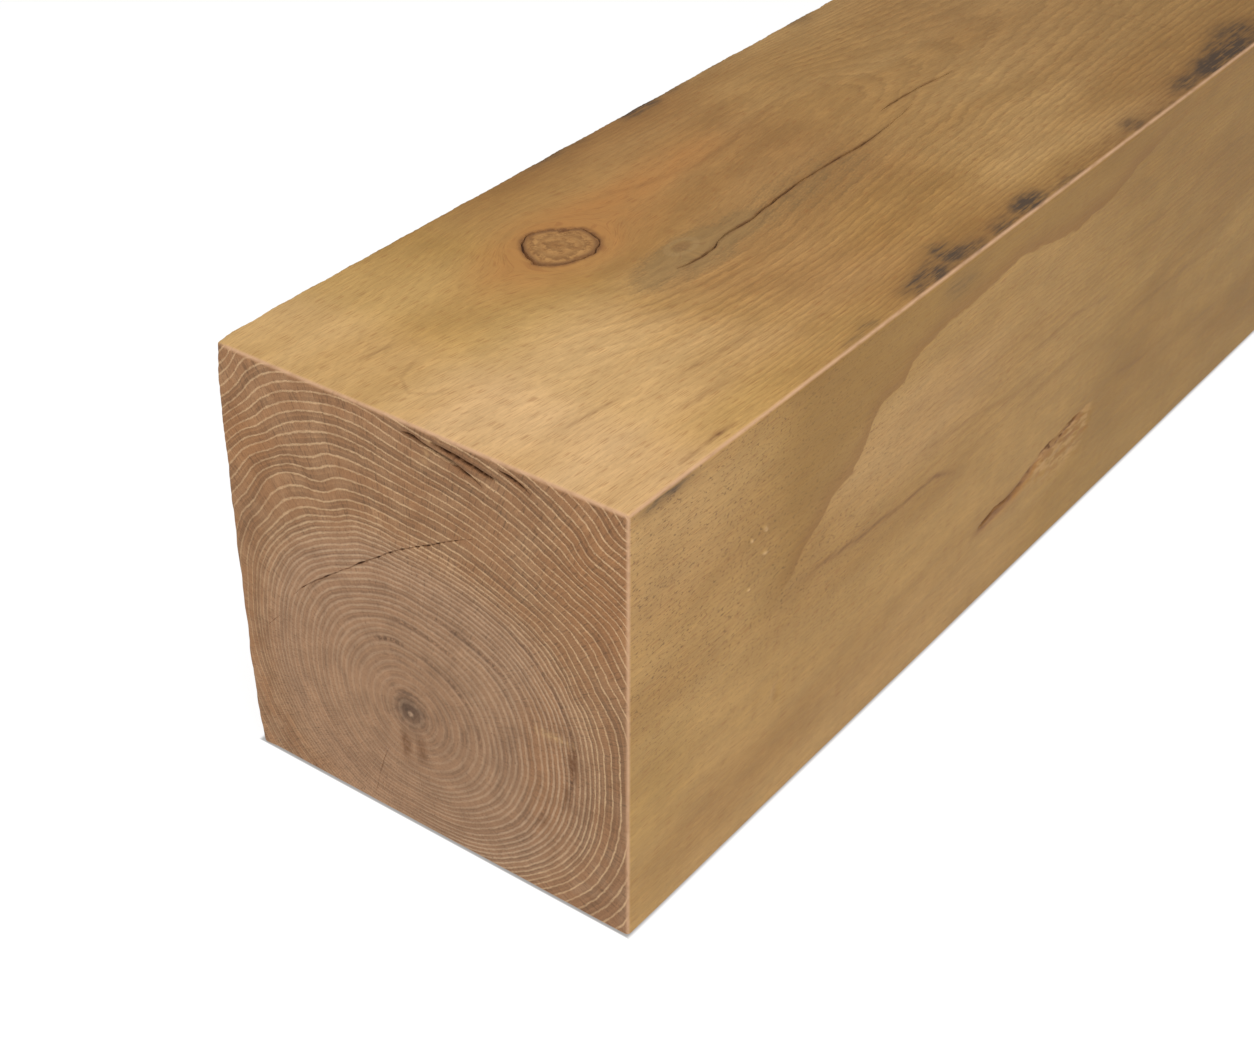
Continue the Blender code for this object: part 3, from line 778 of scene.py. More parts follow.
def sawn_inset(points, size):
    """How far the rough face at -X draws in, at the along and z of each point."""
    along, z = points[:, 1], points[:, 2]
    place = flat(along, z)
    inset = SAWN_BOW * (2 * z / SECTION - 1)**4
    for depth, length, height in SAWN_WAVES:
        inset += depth * (0.5 + waves(place / (length, height, 1), 1.0, length))
    pitch, lean = SAW_MARK[1:]
    phase = (along + lean * z + 2.5 * waves(place, 55, 12)) / pitch
    strength = 0.55 + 0.45 * waves(place * (1, 0.25, 1), 9, 17)
    near_seen = fade(np.minimum(along, SECTION - z), 10, 22) * fade(along, SEEN, SEEN + 40)
    inset += SAW_MARK[0] * strength * (1 + np.sin(2 * math.pi * phase)) * near_seen
    inset += RING_TEAR * fade(ring_line_gap(size), 0.1, 1.1) * (0.6 + waves(place, 7, 23))
    draw_in, reach = FRONT_CORNER
    inset += draw_in * np.exp(-along / reach) * (2 * z / SECTION - 1)**4
    return np.clip(inset, 0.05, 3.2) * fade(points[:, 0] + HALF_WIDTH, 0, SAWN_REACH)


def round_off(points, depth, inset):
    """Round the arrises of the box and move each point in by its depth."""
    radius = SAWN_ARRIS + (ARRIS - SAWN_ARRIS) * smooth((points[:, 0] + HALF_WIDTH) / 9)
    radius = radius * (1 + 0.13 * waves(points, 14, 31))
    low = BOX_LOW + radius[:, None]
    high = BOX_HIGH - radius[:, None]
    centre = np.clip(points, low, high)
    out = points - centre
    out /= np.linalg.norm(out, axis=1)[:, None]
    placed = centre + out * (radius - depth)[:, None]
    placed[:, 0] += inset
    return placed


def arris_highlights(points):
    """How strong the painted highlight is at each point of the planed arrises, where their
    rounded edges catch the light.
    """
    gaps = np.sort(side_gaps(points), axis=0)
    beside_sawn = side_gaps(points)[0]
    sawn = (points[:, 0] < 0) & (beside_sawn <= gaps[1] + 1e-6) & (beside_sawn < 2.5)
    return (fade(gaps[1], 0.3, 1.0) * np.where(sawn, 0.0, 1.0)
            * smooth((points[:, 0] + HALF_WIDTH) / 6))


def side_gaps(points):
    """Distance of each point from the nearer side of the box, along each axis."""
    return np.stack([np.where(points[:, axis] < (BOX_LOW[axis] + BOX_HIGH[axis]) / 2,
                              points[:, axis] - BOX_LOW[axis], BOX_HIGH[axis] - points[:, axis])
                     for axis in range(3)])


def raise_to(mark, mask, values):
    """Raise a mark to the values where it is lower, at the points of a mask."""
    mark[mask] = np.maximum(mark[mask], values)


def mark_top(points, m):
    """Stains, knots and tone of the top face."""
    mask, u, v = on_side(points, "top")
    m.knot[mask] = outline_ratio(u, v, KNOT_CENTRE, KNOT_OUTLINE)
    (cu, cv), (ru, rv) = PIN_KNOT
    ratio = np.hypot((u - cu) / ru, (v - cv) / rv)
    m.pin[mask] = fade(ratio, 0.75, 1.15) - 0.6 * fade(np.abs(ratio - 1.6), 0.1, 0.55)
    m.olive[mask] = (spot(u, v, (128, 5), (44, 15), 0.25, 1.0)
                     + 0.45 * spot(u, v, (190, 8), (75, 24), 0.1, 1.0))
    for centre, radii, amount in STAINS:
        raise_to(m.blue, mask, amount * spot(u, v, centre, radii, 0.0, 1.25))
    m.warm[mask] = (spot(u, v, (112, -32), (62, 27), 0.3, 1.0)
                    + 0.8 * spot(u, v, (172, -38), (48, 13), 0.2, 1.0))
    m.brown[mask] = (0.65 * smooth((v - 58) / 15) * smooth((u - 115) / 50)
                     + 0.35 * smooth((-58 - v) / 12) * smooth((u - 90) / 60) * fade(u, 240, 300))
    for route in TOP_CHECKS:
        distance, strength, _ = line_distance(u, v, route)
        raise_to(m.brown, mask, 1.1 * strength * fade(distance, 0.3, 1.4))
    m.golden[mask] = (0.55 * smooth((10 - v) / 25) * fade(u, 110, 190)
                      + 0.4 * smooth((u - 25) / 20) * fade(u, 70, 110)
                      + 0.5 * smooth((v - 55) / 12) * smooth((u - 30) / 30) * fade(u, 250, 300)
                      + 0.6 * spot(u, v, (195, 42), (55, 32), 0.3, 1.0)
                      + 0.3 * smooth((u - 300) / 80) * smooth((v + 20) / 60))
    seen_right = smooth((u - 35) / 75) * smooth((v + 14) / 34)
    past_check = smooth((u - 235) / 45)
    far_left = 0.35 * smooth((u - 140) / 60)
    m.lines[mask] = 0.22 + 0.68 * np.maximum(np.maximum(seen_right, far_left), 0.75 * past_check)
    spread = 60 * waves(flat(u * 0.5, v), 30, 3.3)
    past_front = smooth((u - 65 - 0.7 * np.maximum(v - 15, 0)) / 55)
    m.dry[mask] = (fade(u + spread * 0.4 - 0.12 * v, 35, 135)
                   - past_front * (fade(u, 205, 250) + 0.6 * smooth((u - 285) / 60)))


def mark_right(points, m):
    """Damp wood, torn knot with painted shade in its slit, chips, stains and tone of the planed
    side, with painted light that makes it paler near the front end and its top edge.
    """
    mask, u, v = on_side(points, "right")
    distance, _, side = line_distance(u, v, DAMP_EDGE)
    m.damp[mask] = np.clip(distance * side, -60, 60)
    _, torn, slit_shade = tear_profile(u, v)
    below, _, over = line_distance(u, v, SIDE_TEAR)
    m.warm[mask] = (0.7 * fade(below, 2.4, 7.0) * (over < 0) * smooth((u - 198) / 10)
                    * fade(u, 276, 290))
    m.patch[mask] = -torn
    # brown here is painted shade in the torn knot's slit
    raise_to(m.brown, mask, 1.4 * slit_shade)
    for chip in SIDE_CHIPS:
        pale_chip = chip_spot(u, v, chip, 0.5)
        m.patch[mask] = np.where(pale_chip > 0, 0.9 * pale_chip, m.patch[mask])
    raise_to(m.blue, mask, 0.75 * spot(u, v, (17, 149), (20, 6), 0.3, 1.0))
    raise_to(m.blue, mask, 0.5 * spot(u, v, (172, 143), (26, 11), 0.0, 1.0))
    (cu, cv), radii = SIDE_PIN_KNOT
    m.pin[mask] = 0.5 * spot(u, v, (cu, cv - 1), radii, 0.2, 1.0)
    pale = spot(u, v, (150, 102), (80, 26), 0.3, 1.0)
    m.golden[mask] = (0.64 + 0.36 * smooth(m.damp[mask] / 8 + 0.4) * smooth((u - 50) / 40)
                      + 0.45 * fade(v, 12, 36) * smooth((u - 210) / 70)
                      + 0.3 * fade(u, 12, 45) * fade(v, 50, 90)
                      + 0.45 * smooth((u - 225) / 110) - 0.3 * pale
                      - 0.3 * fade(v, 15, 50) * fade(u, 150, 260)
                      - 0.3 * smooth((v - 95) / 25) * fade(u, 20, 70))
    # Painted light on the side: paler near the front end and towards its top edge, plus a paler
    # spot of wood
    m.dry[mask] = 0.35 * fade(u + 0.3 * (SECTION - v), 0, 120) + 0.4 * pale
    m.lines[mask] = 0.16 + 0.24 * smooth((u - 120) / 80) * smooth((v - 30) / 50)
    m.speckle[mask] = 0.25 + 0.75 * smooth((v + 0.2 * u - 40) / 60) * fade(u, 70, 190)
    m.damp_edge[mask] = smooth((u - 64) / 24) * (1 - 0.8 * smooth((u - 285) / 70))


def mark_streaks(points, m):
    """Brown streaks of the top and of the planed side."""
    for name, half_width, strength, route in STREAKS:
        mask, u, v = on_side(points, name)
        distance, _, _ = line_distance(u, v, route)
        from_ends = np.minimum(np.hypot(u - route[0][0], v - route[0][1]),
                               np.hypot(u - route[-1][0], v - route[-1][1]))
        raise_to(m.brown, mask, strength * fade(distance, 0.2, half_width)
                 * (0.3 + 0.7 * smooth(from_ends / 9)))


def mark_front(points, m):
    """Dark spots, pockets, pale rays and warmer wood of the front end."""
    mask, u, v = on_side(points, "front")
    m.warm[mask] = (0.8 * spot(u, v, (71, 124), (33, 44), 0.2, 1.0)
                    + 0.5 * spot(u, v, (47, 52), (15, 48), 0.3, 1.0)
                    + 0.7 * spot(u, v, (-66, 118), (20, 24), 0.2, 1.0))
    for route in FRONT_POCKETS:
        raise_to(m.brown, mask, 0.55 * fade(line_distance(u, v, route)[0], 0.6, 1.9))
    for centre, radii, amount in FRONT_SPOTS:
        raise_to(m.brown, mask, amount * spot(u, v, centre, radii, 0.2, 1.2))
    m.patch[mask] = 0.0
    for route, amount in PALE_RAYS:
        distance, strength, _ = line_distance(u, v, route)
        raise_to(m.patch, mask, amount * strength * fade(distance, 0.1, 0.5))


def dark_arcs(points, size):
    """Dark stretches of single rings."""
    pith = pith_place(points[:, 1])
    angle = np.degrees(np.arctan2(points[:, 2] - pith[1], points[:, 0] - pith[0]))
    arcs = np.zeros(len(points))
    for centre, start, stop, amount in DARK_RINGS:
        window = smooth((angle - start) / 7 + 0.5) * (1 - smooth((angle - stop) / 7 + 0.5))
        arcs = np.maximum(arcs, amount * window * fade(np.abs(size - centre), 0.35, 1.3))
    return arcs


PLAIN_MARKS = {"knot": 4.0, "pin": 0.0, "olive": 0.0, "blue": 0.0, "warm": 0.0, "brown": 0.0,
               "golden": 0.0, "damp": -60.0, "patch": 0.0, "end": 0.0, "dry": 0.0, "lines": 0.5,
               "speckle": 0.15, "damp_edge": 0.0}


def surface_marks(points, size, dark):
    """The values that the wood's material reads at each point, as named triples."""
    m = SimpleNamespace(**{name: np.full(len(points), value)
                           for name, value in PLAIN_MARKS.items()})
    mark_top(points, m)
    mask, u, v = on_side(points, "left")
    rough_outline = ellipse_outline(ROUGH_KNOT[1], ROUGH_KNOT_UNEVEN)
    m.knot[mask] = outline_ratio(u, v, ROUGH_KNOT[0], rough_outline)
    mark_right(points, m)
    mark_streaks(points, m)
    mark_front(points, m)
    m.end[on_side(points, "left")[0]] = -1.0
    for name in ("front", "back"):
        m.end[on_side(points, name)[0]] = 1.0

    rings = ring_sizes()
    numbers = np.interp(size, np.append(0.0, rings), np.arange(len(rings) + 1.0))
    pitch = np.interp(size, (rings[1:] + rings[:-1]) / 2, np.diff(rings))
    pith = pith_place(points[:, 1])
    arcs_or_golden = np.where(m.end > 0, dark_arcs(points, size), m.golden)
    triples = {
        "wood_rings": (numbers, pitch, size),
        "wood_grain": grain_place(points).T,
        "wood_pith": (points[:, 0] - pith[0], points[:, 2] - pith[1], m.end),
        "wood_marks": (dark, m.knot, m.damp),
        "wood_stains": (m.blue, m.olive, m.warm),
        # the first value is the painted highlight on the arrises
        "wood_spots": (arris_highlights(points), m.patch, m.brown),
        "wood_tones": (m.pin, arcs_or_golden, m.dry),
        "wood_figure": (m.lines, m.speckle, m.damp_edge),
    }
    return {name: np.stack(triple, axis=1) for name, triple in triples.items()}


def bake_layout(side, uv):
    """Places of the sides in the unit square: four strips above two ends."""
    place = np.zeros_like(uv)
    gap = 0.004
    strip = 0.16
    scale_end = 0.33 / SECTION
    for number, name in enumerate(SIDES):
        mask = side == number
        u, v = uv[mask, 0], uv[mask, 1]
        if name in ("front", "back"):
            shift = gap + (0.35 if name == "back" else 0.0)
            place[mask] = np.stack([(u + HALF_WIDTH) * scale_end + shift, v * scale_end + gap],
                                   axis=1)
        else:
            row = ("top", "right", "left", "bottom").index(name)
            across = v + HALF_WIDTH if name in ("top", "bottom") else v
            place[mask] = np.stack([gap + u / LENGTH * (1 - 2 * gap),
                                    0.345 + row * (strip + gap) + across / 152 * strip], axis=1)
    return place


def build_wood():
    """The whole post as one closed mesh object."""
    grooves = build_grooves()
    points, triangles, corner_uv, corner_side = box_surface(grooves)
    size = ring_size(points)
    depth, dark = relief(points, grooves, size)
    inset = sawn_inset(points, size)
    placed = round_off(points, depth, inset)
    world = placed + (0, POST_LOW[1], 0)

    mesh = bpy.data.meshes.new("oak_post_wood")
    mesh.from_pydata((world * MM).tolist(), [], triangles.tolist())
    uv_layer = mesh.uv_layers.new(name="OFBake")
    uv_layer.data.foreach_set("uv", bake_layout(corner_side, corner_uv).ravel())
    for name, values in surface_marks(points, size, dark).items():
        attribute = mesh.attributes.new(name, 'FLOAT_VECTOR', 'POINT')
        attribute.data.foreach_set("vector", values.astype(np.float32).ravel())
    mesh.shade_smooth()
    mesh.set_sharp_from_angle(angle=math.radians(42))
    mesh.update()
    obj = bpy.data.objects.new("oak_post_wood", mesh)
    bpy.context.scene.collection.objects.link(obj)
    return obj


class Value:
    """A shader socket that can be added, multiplied and so on, each by a Math node."""

    def __init__(self, graph, socket):
        self.graph = graph
        self.socket = socket

    def __add__(self, other):
        return self.graph.math('ADD', self, other)

    def __sub__(self, other):
        return self.graph.math('SUBTRACT', self, other)

    def __rsub__(self, other):
        return self.graph.math('SUBTRACT', other, self)

    def __mul__(self, other):
        return self.graph.math('MULTIPLY', self, other)

    def __truediv__(self, other):
        return self.graph.math('DIVIDE', self, other)

    __radd__ = __add__
    __rmul__ = __mul__


class Graph:
    """Short forms for the shader nodes of a material."""

    def __init__(self, material):
        material.use_nodes = True
        self.tree = material.node_tree
        self.shader = self.tree.nodes["Principled BSDF"]

    def plug(self, value, socket):
        """Link a value to a socket, or set the socket's own number or colour."""
        if isinstance(value, Value):
            self.tree.links.new(value.socket, socket)
        else:
            socket.default_value = value

    def node(self, kind, inputs, output=0, **settings):
        """A node of a kind with inputs by index or name, and one of its outputs."""
        node = self.tree.nodes.new(kind)
        for name, setting in settings.items():
            setattr(node, name, setting)
        for key, value in inputs.items():
            self.plug(value, node.inputs[key])
        return Value(self, node.outputs[output])

    def math(self, operation, a, b=0.0):
        """The result of a math node on one or two values."""
        return self.node('ShaderNodeMath', {0: a, 1: b}, operation=operation)

    def largest(self, a, b):
        """The larger of two values."""
        return self.math('MAXIMUM', a, b)

    def vector(self, operation, a, b):
        """The result of a vector math node on two triples."""
        return self.node('ShaderNodeVectorMath', {0: a, 1: b}, operation=operation)

    def attribute(self, name):
        """A triple that was stored at each point of the mesh."""
        return self.node('ShaderNodeAttribute', {}, 'Vector', attribute_name=name)

    def parts(self, triple):
        """The three numbers of a vector."""
        node = self.tree.nodes.new('ShaderNodeSeparateXYZ')
        self.plug(triple, node.inputs[0])
        return [Value(self, output) for output in node.outputs]

    def ramp(self, value, low, high, start=0.0, stop=1.0):
        """From start to stop, smoothly, as the value goes from low to high."""
        return self.node('ShaderNodeMapRange',
                         {'Value': value, 'From Min': low, 'From Max': high,
                          'To Min': start, 'To Max': stop}, interpolation_type='SMOOTHSTEP')

    def noise(self, place, stretch, detail=2.0, roughness=0.5):
        """Noise from 0 to 1 with cells of the stretch's size along each axis."""
        scaled = self.vector('DIVIDE', place, tuple(stretch))
        return self.node('ShaderNodeTexNoise', {'Vector': scaled, 'Scale': 1.0, 'Detail': detail,
                                                'Roughness': roughness}, 'Fac')

    def mix(self, factor, a, b):
        """Colour a where the factor is 0 and b where it is 1."""
        return self.node('ShaderNodeMix', {0: factor, 6: a, 7: b}, 2, data_type='RGBA')

    def shade(self, colour, factor):
        """The colour made lighter or darker by a factor."""
        return self.vector('MULTIPLY', colour, self.node('ShaderNodeCombineXYZ',
                                                         {0: factor, 1: factor, 2: factor}))


def tone(red, green, blue):
    """A colour that is given as it looks on a screen, 0 to 255."""
    levels = [level / 255 for level in (red, green, blue)]
    return tuple(level / 12.92 if level <= 0.04045 else ((level + 0.055) / 1.055)**2.4
                 for level in levels) + (1.0,)


def wood_noises(g, grain):
    """Noises of several sizes, longer along the grain; an end shows them cut across."""
    return SimpleNamespace(
        broad=g.noise(grain, (30, 150, 30)),
        cloud=g.noise(grain, (9, 22, 9), 3, 0.6),
        waver=g.noise(grain, (2.4, 7, 2.4)),
        flecks=g.noise(grain, (1.7, 7, 1.7), 2, 0.6),
        streaks=g.noise(grain, (0.65, 18, 0.65), 2, 0.6),
        fibres=g.noise(grain, (0.38, 4.5, 0.38), 2, 0.6),
        pores=g.noise(grain, (0.30, 5.5, 0.30), 0),
        dots=g.noise(grain, (0.62, 1.5, 0.62), 1, 0.6))


def wood_material():
    """Planed oak with end grain, knots, checks and stains, with painted shade in the checks and
    grooves and a painted highlight on the arrises.
    """
    material = bpy.data.materials.new("oak_wood")
    g = Graph(material)
    rings = g.parts(g.attribute("wood_rings"))
    grain = g.attribute("wood_grain")
    pith_x, pith_z, side = g.parts(g.attribute("wood_pith"))
    dark, knot, damp = g.parts(g.attribute("wood_marks"))
    blue, olive, warm = g.parts(g.attribute("wood_stains"))
    arris, patch, brown = g.parts(g.attribute("wood_spots"))
    pin, deep, dry = g.parts(g.attribute("wood_tones"))
    lines, speckle, damp_edge = g.parts(g.attribute("wood_figure"))
    end = g.largest(side, 0.0)
    sawn = g.largest(side * -1.0, 0.0)
    n = wood_noises(g, grain)

    end_colour, ring_line = end_grain(g, n, rings, (pith_x, pith_z), warm, deep)
    long_colour = long_grain(g, n, grain, rings, warm, dry, deep, lines, speckle)
    wander = g.noise(grain, (60, 30, 60), 0) * 9.0
    _, along, up = g.parts(grain)
    stroke = g.math('SINE', (along + up * 0.16 + wander) * 1.7)
    long_colour = g.shade(long_colour, 1.0 - sawn * g.ramp(stroke, -0.6, 1.0, 0.10, 0.0))
    long_colour = g.shade(long_colour, 1.0 + sawn * g.ramp(n.dots, 0.3, 0.7, -0.12, 0.08))
    colour = g.mix(end, long_colour, end_colour)

    # Knot: greyer wood with rings of its own, inside the dark groove
    own_place = g.node('ShaderNodeTexCoord', {}, 'Object')
    knot_noise = g.noise(own_place, (0.0024, 0.0024, 0.0024), 3, 0.65)
    knot_ring = g.math('SINE', knot * 17.0 + knot_noise * 14.0)
    knot_colour = g.mix(g.ramp(knot_noise, 0.3, 0.7), tone(138, 96, 52), tone(174, 129, 76))
    knot_colour = g.shade(knot_colour, g.ramp(knot_ring, -1, 1, 0.88, 1.05))
    colour = g.mix(g.ramp(knot, 0.93, 1.0, 1, 0), colour, knot_colour)
    rim_dark = g.ramp(g.math('ABSOLUTE', knot - 0.99), 0.0, 0.20, 1, 0)
    colour = g.mix(rim_dark * g.ramp(knot_noise, 0.2, 0.6, 0.25, 0.8), colour, tone(98, 60, 32))

    # Olive cloud round the pin knot, with a darker rim, and the pin knot itself
    olive_cloud = olive * g.ramp(n.cloud, 0.30, 0.55, 0.45, 1.1)
    olive_mask = g.ramp(olive_cloud + (n.flecks + n.dots - 1.0) * 0.6, 0.10, 0.95)
    olive_rim = olive_mask * g.ramp(olive_cloud, 0.80, 0.45)
    colour = g.mix(olive_mask * 0.46, colour, tone(118, 98, 62))
    colour = g.mix(olive_rim * 0.36, colour, tone(92, 74, 48))
    colour = g.mix(g.ramp(pin, 0.0, 1.0) * 0.42, colour, tone(128, 92, 56))
    colour = g.mix(g.ramp(pin, 0.0, -0.5) * 0.12, colour, tone(186, 156, 110))

    # Damp wood below a ragged edge on the planed side
    damp_noise = damp + (n.waver - 0.5) * 2.6
    damp_mask = g.ramp(damp_noise, -0.45, 0.45) * damp_edge
    damp_rim = damp_mask * g.ramp(damp_noise, 0.3, 9.0, 1, 0)
    colour = g.mix(damp_mask * 0.42, colour, tone(134, 97, 42))
    colour = g.mix(damp_rim * 0.40, colour, tone(128, 84, 38))

    # Blue-black iron stains, brown streaks and torn pale wood
    # brown also holds painted shade in the torn knot's slit
    brown_mask = brown * g.ramp(n.flecks, 0.3, 0.65, 0.45, 1.0)
    colour = g.mix(brown_mask * 0.7, colour, tone(108, 68, 36))
    smoke = n.streaks * 0.35 + n.flecks * 0.35 + n.cloud * 0.3
    blue_mask = blue * g.ramp(smoke, 0.38, 0.60, 0.2, 1.25)
    colour = g.mix(g.ramp(blue, 0.0, 0.8) * 0.36, colour, tone(106, 78, 46))
    colour = g.mix(g.ramp(blue_mask, 0.15, 1.15) * 0.84, colour, tone(62, 52, 45))
    torn = g.largest(patch * -1.0, 0.0)
    colour = g.mix(torn * g.ramp(n.flecks, 0.48, 0.66) * 0.5, colour, tone(150, 98, 48))
    colour = g.mix(torn * g.ramp(n.flecks, 0.55, 0.40) * 0.4, colour, tone(202, 158, 104))
    colour = g.mix(patch * g.ramp(n.flecks, 0.3, 0.6, 0.25, 0.75), colour, tone(214, 174, 120))

    # Painted highlight: a paler band on the planed arrises, where their rounded edges catch the
    # light
    arris_highlight_colour = g.mix(n.waver, tone(182, 142, 108), tone(212, 170, 134))
    colour = g.mix(arris * g.ramp(n.waver, 0.2, 0.5, 0.6, 0.95), colour, arris_highlight_colour)

    # Painted shade inside the checks and grooves, on top of their real depth, broken up where
    # ring lines cross them
    beads = g.ramp(n.flecks, 0.38, 0.54, 0.22, 1.0)
    groove_shade_mask = g.ramp(dark * (beads + 0.35) * (1 - ring_line * end * 0.85), 0.22, 0.95)
    groove_shade_colour = g.mix(g.ramp(beads, 0.3, 1.0), tone(118, 74, 42), tone(74, 45, 27))
    colour = g.mix(groove_shade_mask * 0.92, colour, groove_shade_colour)

    g.plug(colour, g.shader.inputs["Base Color"])
    rough = 0.56 + n.streaks * 0.2 + end * 0.12 + groove_shade_mask * 0.2
    g.plug(rough, g.shader.inputs["Roughness"])
    g.shader.inputs["Specular IOR Level"].default_value = 0.3
    height = n.fibres * 0.36 + n.streaks * 0.26 + sawn * (stroke * 0.5 + n.dots * 1.4)
    bump = g.node('ShaderNodeBump', {'Height': height, 'Distance': 0.0003, 'Strength': 0.6})
    g.plug(bump, g.shader.inputs["Normal"])
    return material


def end_grain(g, n, rings, from_pith, warm, arcs):
    """Colour of the sawn ends, and a mask of the ring lines."""
    number, pitch, size = rings
    pith_x, pith_z = from_pith
    number = number + (n.waver - 0.5) * 0.22
    from_line = (number - g.math('ROUND', number)) * pitch
    line_gap = g.math('ABSOLUTE', from_line)
    reach = g.math('SQRT', pith_x * pith_x + pith_z * pith_z)
    way = [part / g.largest(reach, 0.5) for part in from_pith]
    outer = g.ramp(size, 52, 70)

    # The wood is paler and pinker inside and below, browner in the wide outer rings
    colour = g.mix(n.broad, tone(148, 110, 80), tone(170, 132, 99))
    outer_colour = g.mix(n.broad, tone(146, 107, 73), tone(170, 130, 93))
    colour = g.mix(outer * g.ramp(pith_z, -30, 50, 0.4, 1.0), colour, outer_colour)
    colour = g.shade(colour, g.ramp(pith_x, -50, 55, 1.07, 0.93))
    colour = g.mix(warm * 0.55, colour, tone(166, 112, 64))
    colour = g.shade(colour, g.ramp(n.cloud, 0.3, 0.7, 0.94, 1.05))
    colour = g.mix(outer * g.ramp(n.cloud, 0.62, 0.42) * 0.4, colour, tone(152, 104, 65))

    # Darker wood round the pith, most of it above, and dark stretches of single rings
    halo_reach = reach + n.waver * 4.0 + n.flecks * 3.0
    halo = g.ramp(halo_reach, 5.5, 13.0, 1, 0) * g.ramp(pith_z - pith_x * 0.3, -8, 4, 0.4, 1.0)
    colour = g.mix(halo * 0.88, colour, tone(88, 66, 50))
    arc_mask = arcs * g.ramp(n.flecks + n.dots * 0.5, 0.62, 0.86, 0.0, 0.75)
    colour = g.mix(arc_mask, colour, tone(88, 60, 42))

    # Late wood darkens towards the next line, and rays cross the rings
    late_noise = g.noise(g.node('ShaderNodeCombineXYZ', {0: g.math('FLOOR', number) * 3.7,
                                                         1: way[0] * 2.4, 2: way[1] * 2.4}),
                         (1, 1, 1), 1)
    late = g.ramp(from_line / pitch, -0.55, -0.1) * g.ramp(late_noise, 0.35, 0.65, 0.0, 1.6)
    colour = g.shade(colour, 1.05 - late * g.ramp(size, 40, 70, 0.15, 0.18))
    ray_place = g.node('ShaderNodeCombineXYZ', {0: way[0] * 165.0, 1: way[1] * 165.0,
                                                2: size / 4.0})
    rays = g.noise(ray_place, (1, 1, 1), 1)
    colour = g.shade(colour, g.ramp(rays, 0.54, 0.74, 1.0, 0.68))
    colour = g.shade(colour, g.ramp(rays, 0.44, 0.26, 1.0, 1.16))
    colour = g.shade(colour, g.ramp(n.fibres, 0.25, 0.75, 0.86, 1.14))

    # Pale ring lines, softer and wider near the heart
    width = g.ramp(n.flecks, 0.25, 0.75, 0.28, 0.50) * g.ramp(size, 15, 64, 1.7, 1.0)
    line = g.ramp(line_gap / width, 0.3, 1.2, 1, 0)
    seen = g.ramp(size, 5, 68, 0.30, 1.0) * g.ramp(pith_z * 0.6 + pith_x, -62, 0, 0.5, 1.0)
    seen = seen * g.ramp(n.cloud, 0.3, 0.62, 0.55, 1.0) * (1 - arc_mask * 0.6)
    ring_line = line * seen * g.ramp(n.dots, 0.34, 0.60, 0.42, 1.0)
    line_colour = g.mix(outer, tone(206, 172, 138), tone(222, 184, 140))
    colour = g.mix(ring_line * 0.84, colour, line_colour)
    colour = g.mix(g.ramp(reach + n.dots, 0.7, 2.0, 1, 0) * 0.55, colour, tone(208, 172, 138))

    # Large pores beside the lines
    pore_mask = g.ramp(n.dots, 0.60, 0.70) * g.ramp(line_gap, 0.3, 1.3, 1, 0.3)
    return g.mix(pore_mask * 0.62, colour, tone(88, 56, 34)), ring_line


def long_grain(g, n, grain, rings, warm, dry, golden, lines, speckle):
    """Colour of the planed and sawn long faces, with a painted light falloff that darkens them
    further from the front end.
    """
    _, along, _ = g.parts(grain)
    deep = g.mix(g.ramp(n.broad, 0.3, 0.7), tone(181, 142, 88), tone(164, 124, 71))
    pale = g.mix(g.ramp(n.broad, 0.3, 0.7), tone(205, 167, 118), tone(194, 154, 102))
    colour = g.mix(dry, deep, pale)
    darker = g.vector('MULTIPLY', colour, (0.90, 0.85, 0.82))
    colour = g.mix(g.ramp(dry, 0.0, -1.0), colour, darker)
    # Painted light falloff: darker further along the post, away from the key light over the front
    # end
    colour = g.shade(colour, g.ramp(along, 60, 430, 1.0, 0.88))
    colour = g.mix(golden, colour, g.vector('MULTIPLY', colour, (0.82, 0.79, 0.57)))
    colour = g.shade(colour, g.ramp(n.cloud, 0.25, 0.75, 0.92, 1.06))
    colour = g.shade(colour, g.ramp(n.flecks, 0.25, 0.75, 0.98, 1.02))
    colour = g.shade(colour, g.ramp(n.streaks, 0.22, 0.78, 0.93, 1.06))
    colour = g.shade(colour, g.ramp(n.fibres, 0.25, 0.75, 0.94, 1.05))
    colour = g.mix(warm * g.ramp(n.cloud, 0.3, 0.65, 0.45, 0.8), colour, tone(172, 118, 62))

    # Rings meet the face twice: at their porous and at their dense side. Each is a pale band
    # with a dark edge, on its way waved and broken
    twice = rings[0] * 2.0 + (n.waver - 0.5) * 0.95
    place = twice - g.math('FLOOR', twice)
    dark_side = g.ramp(place, 0.62, 0.93) * g.ramp(place, 0.95, 1.0, 1, 0)
    pale_side = g.ramp(place, 0.0, 0.12) * g.ramp(place, 0.22, 0.62, 1, 0)
    dashes = lines * g.ramp(n.flecks * 0.5 + n.cloud * 0.5, 0.38, 0.6, 0.4, 1.15)
    colour = g.shade(colour, 1.0 - dark_side * dashes * 0.16)
    colour = g.shade(colour, pale_side * dashes * 0.12 + 1.0)

    # Pores: short fine dark strokes along the grain, coarser where the wood is damp
    pore_mask = g.ramp(n.pores + dark_side * 0.04, 0.58, 0.74)
    colour = g.mix(pore_mask * 0.36, colour, tone(140, 88, 46))
    dot_mask = g.ramp(n.dots, 0.56, 0.74) * speckle
    colour = g.mix(dot_mask * 0.6, colour, tone(96, 64, 34))
    return g.shade(colour, g.ramp(n.dots, 0.42, 0.28, 1.0, 1.04))


FLOOR_SIZE = 120.0
FLOOR_DROP = 0.0004       # how far the floor lies below the post's underside
FLOOR_MIDDLE = 0.4        # distance of the floor's middle behind the post's middle
CONTACT_SHADE = 0.0007    # width of the painted contact shadow, a darker line on the floor right beside the post
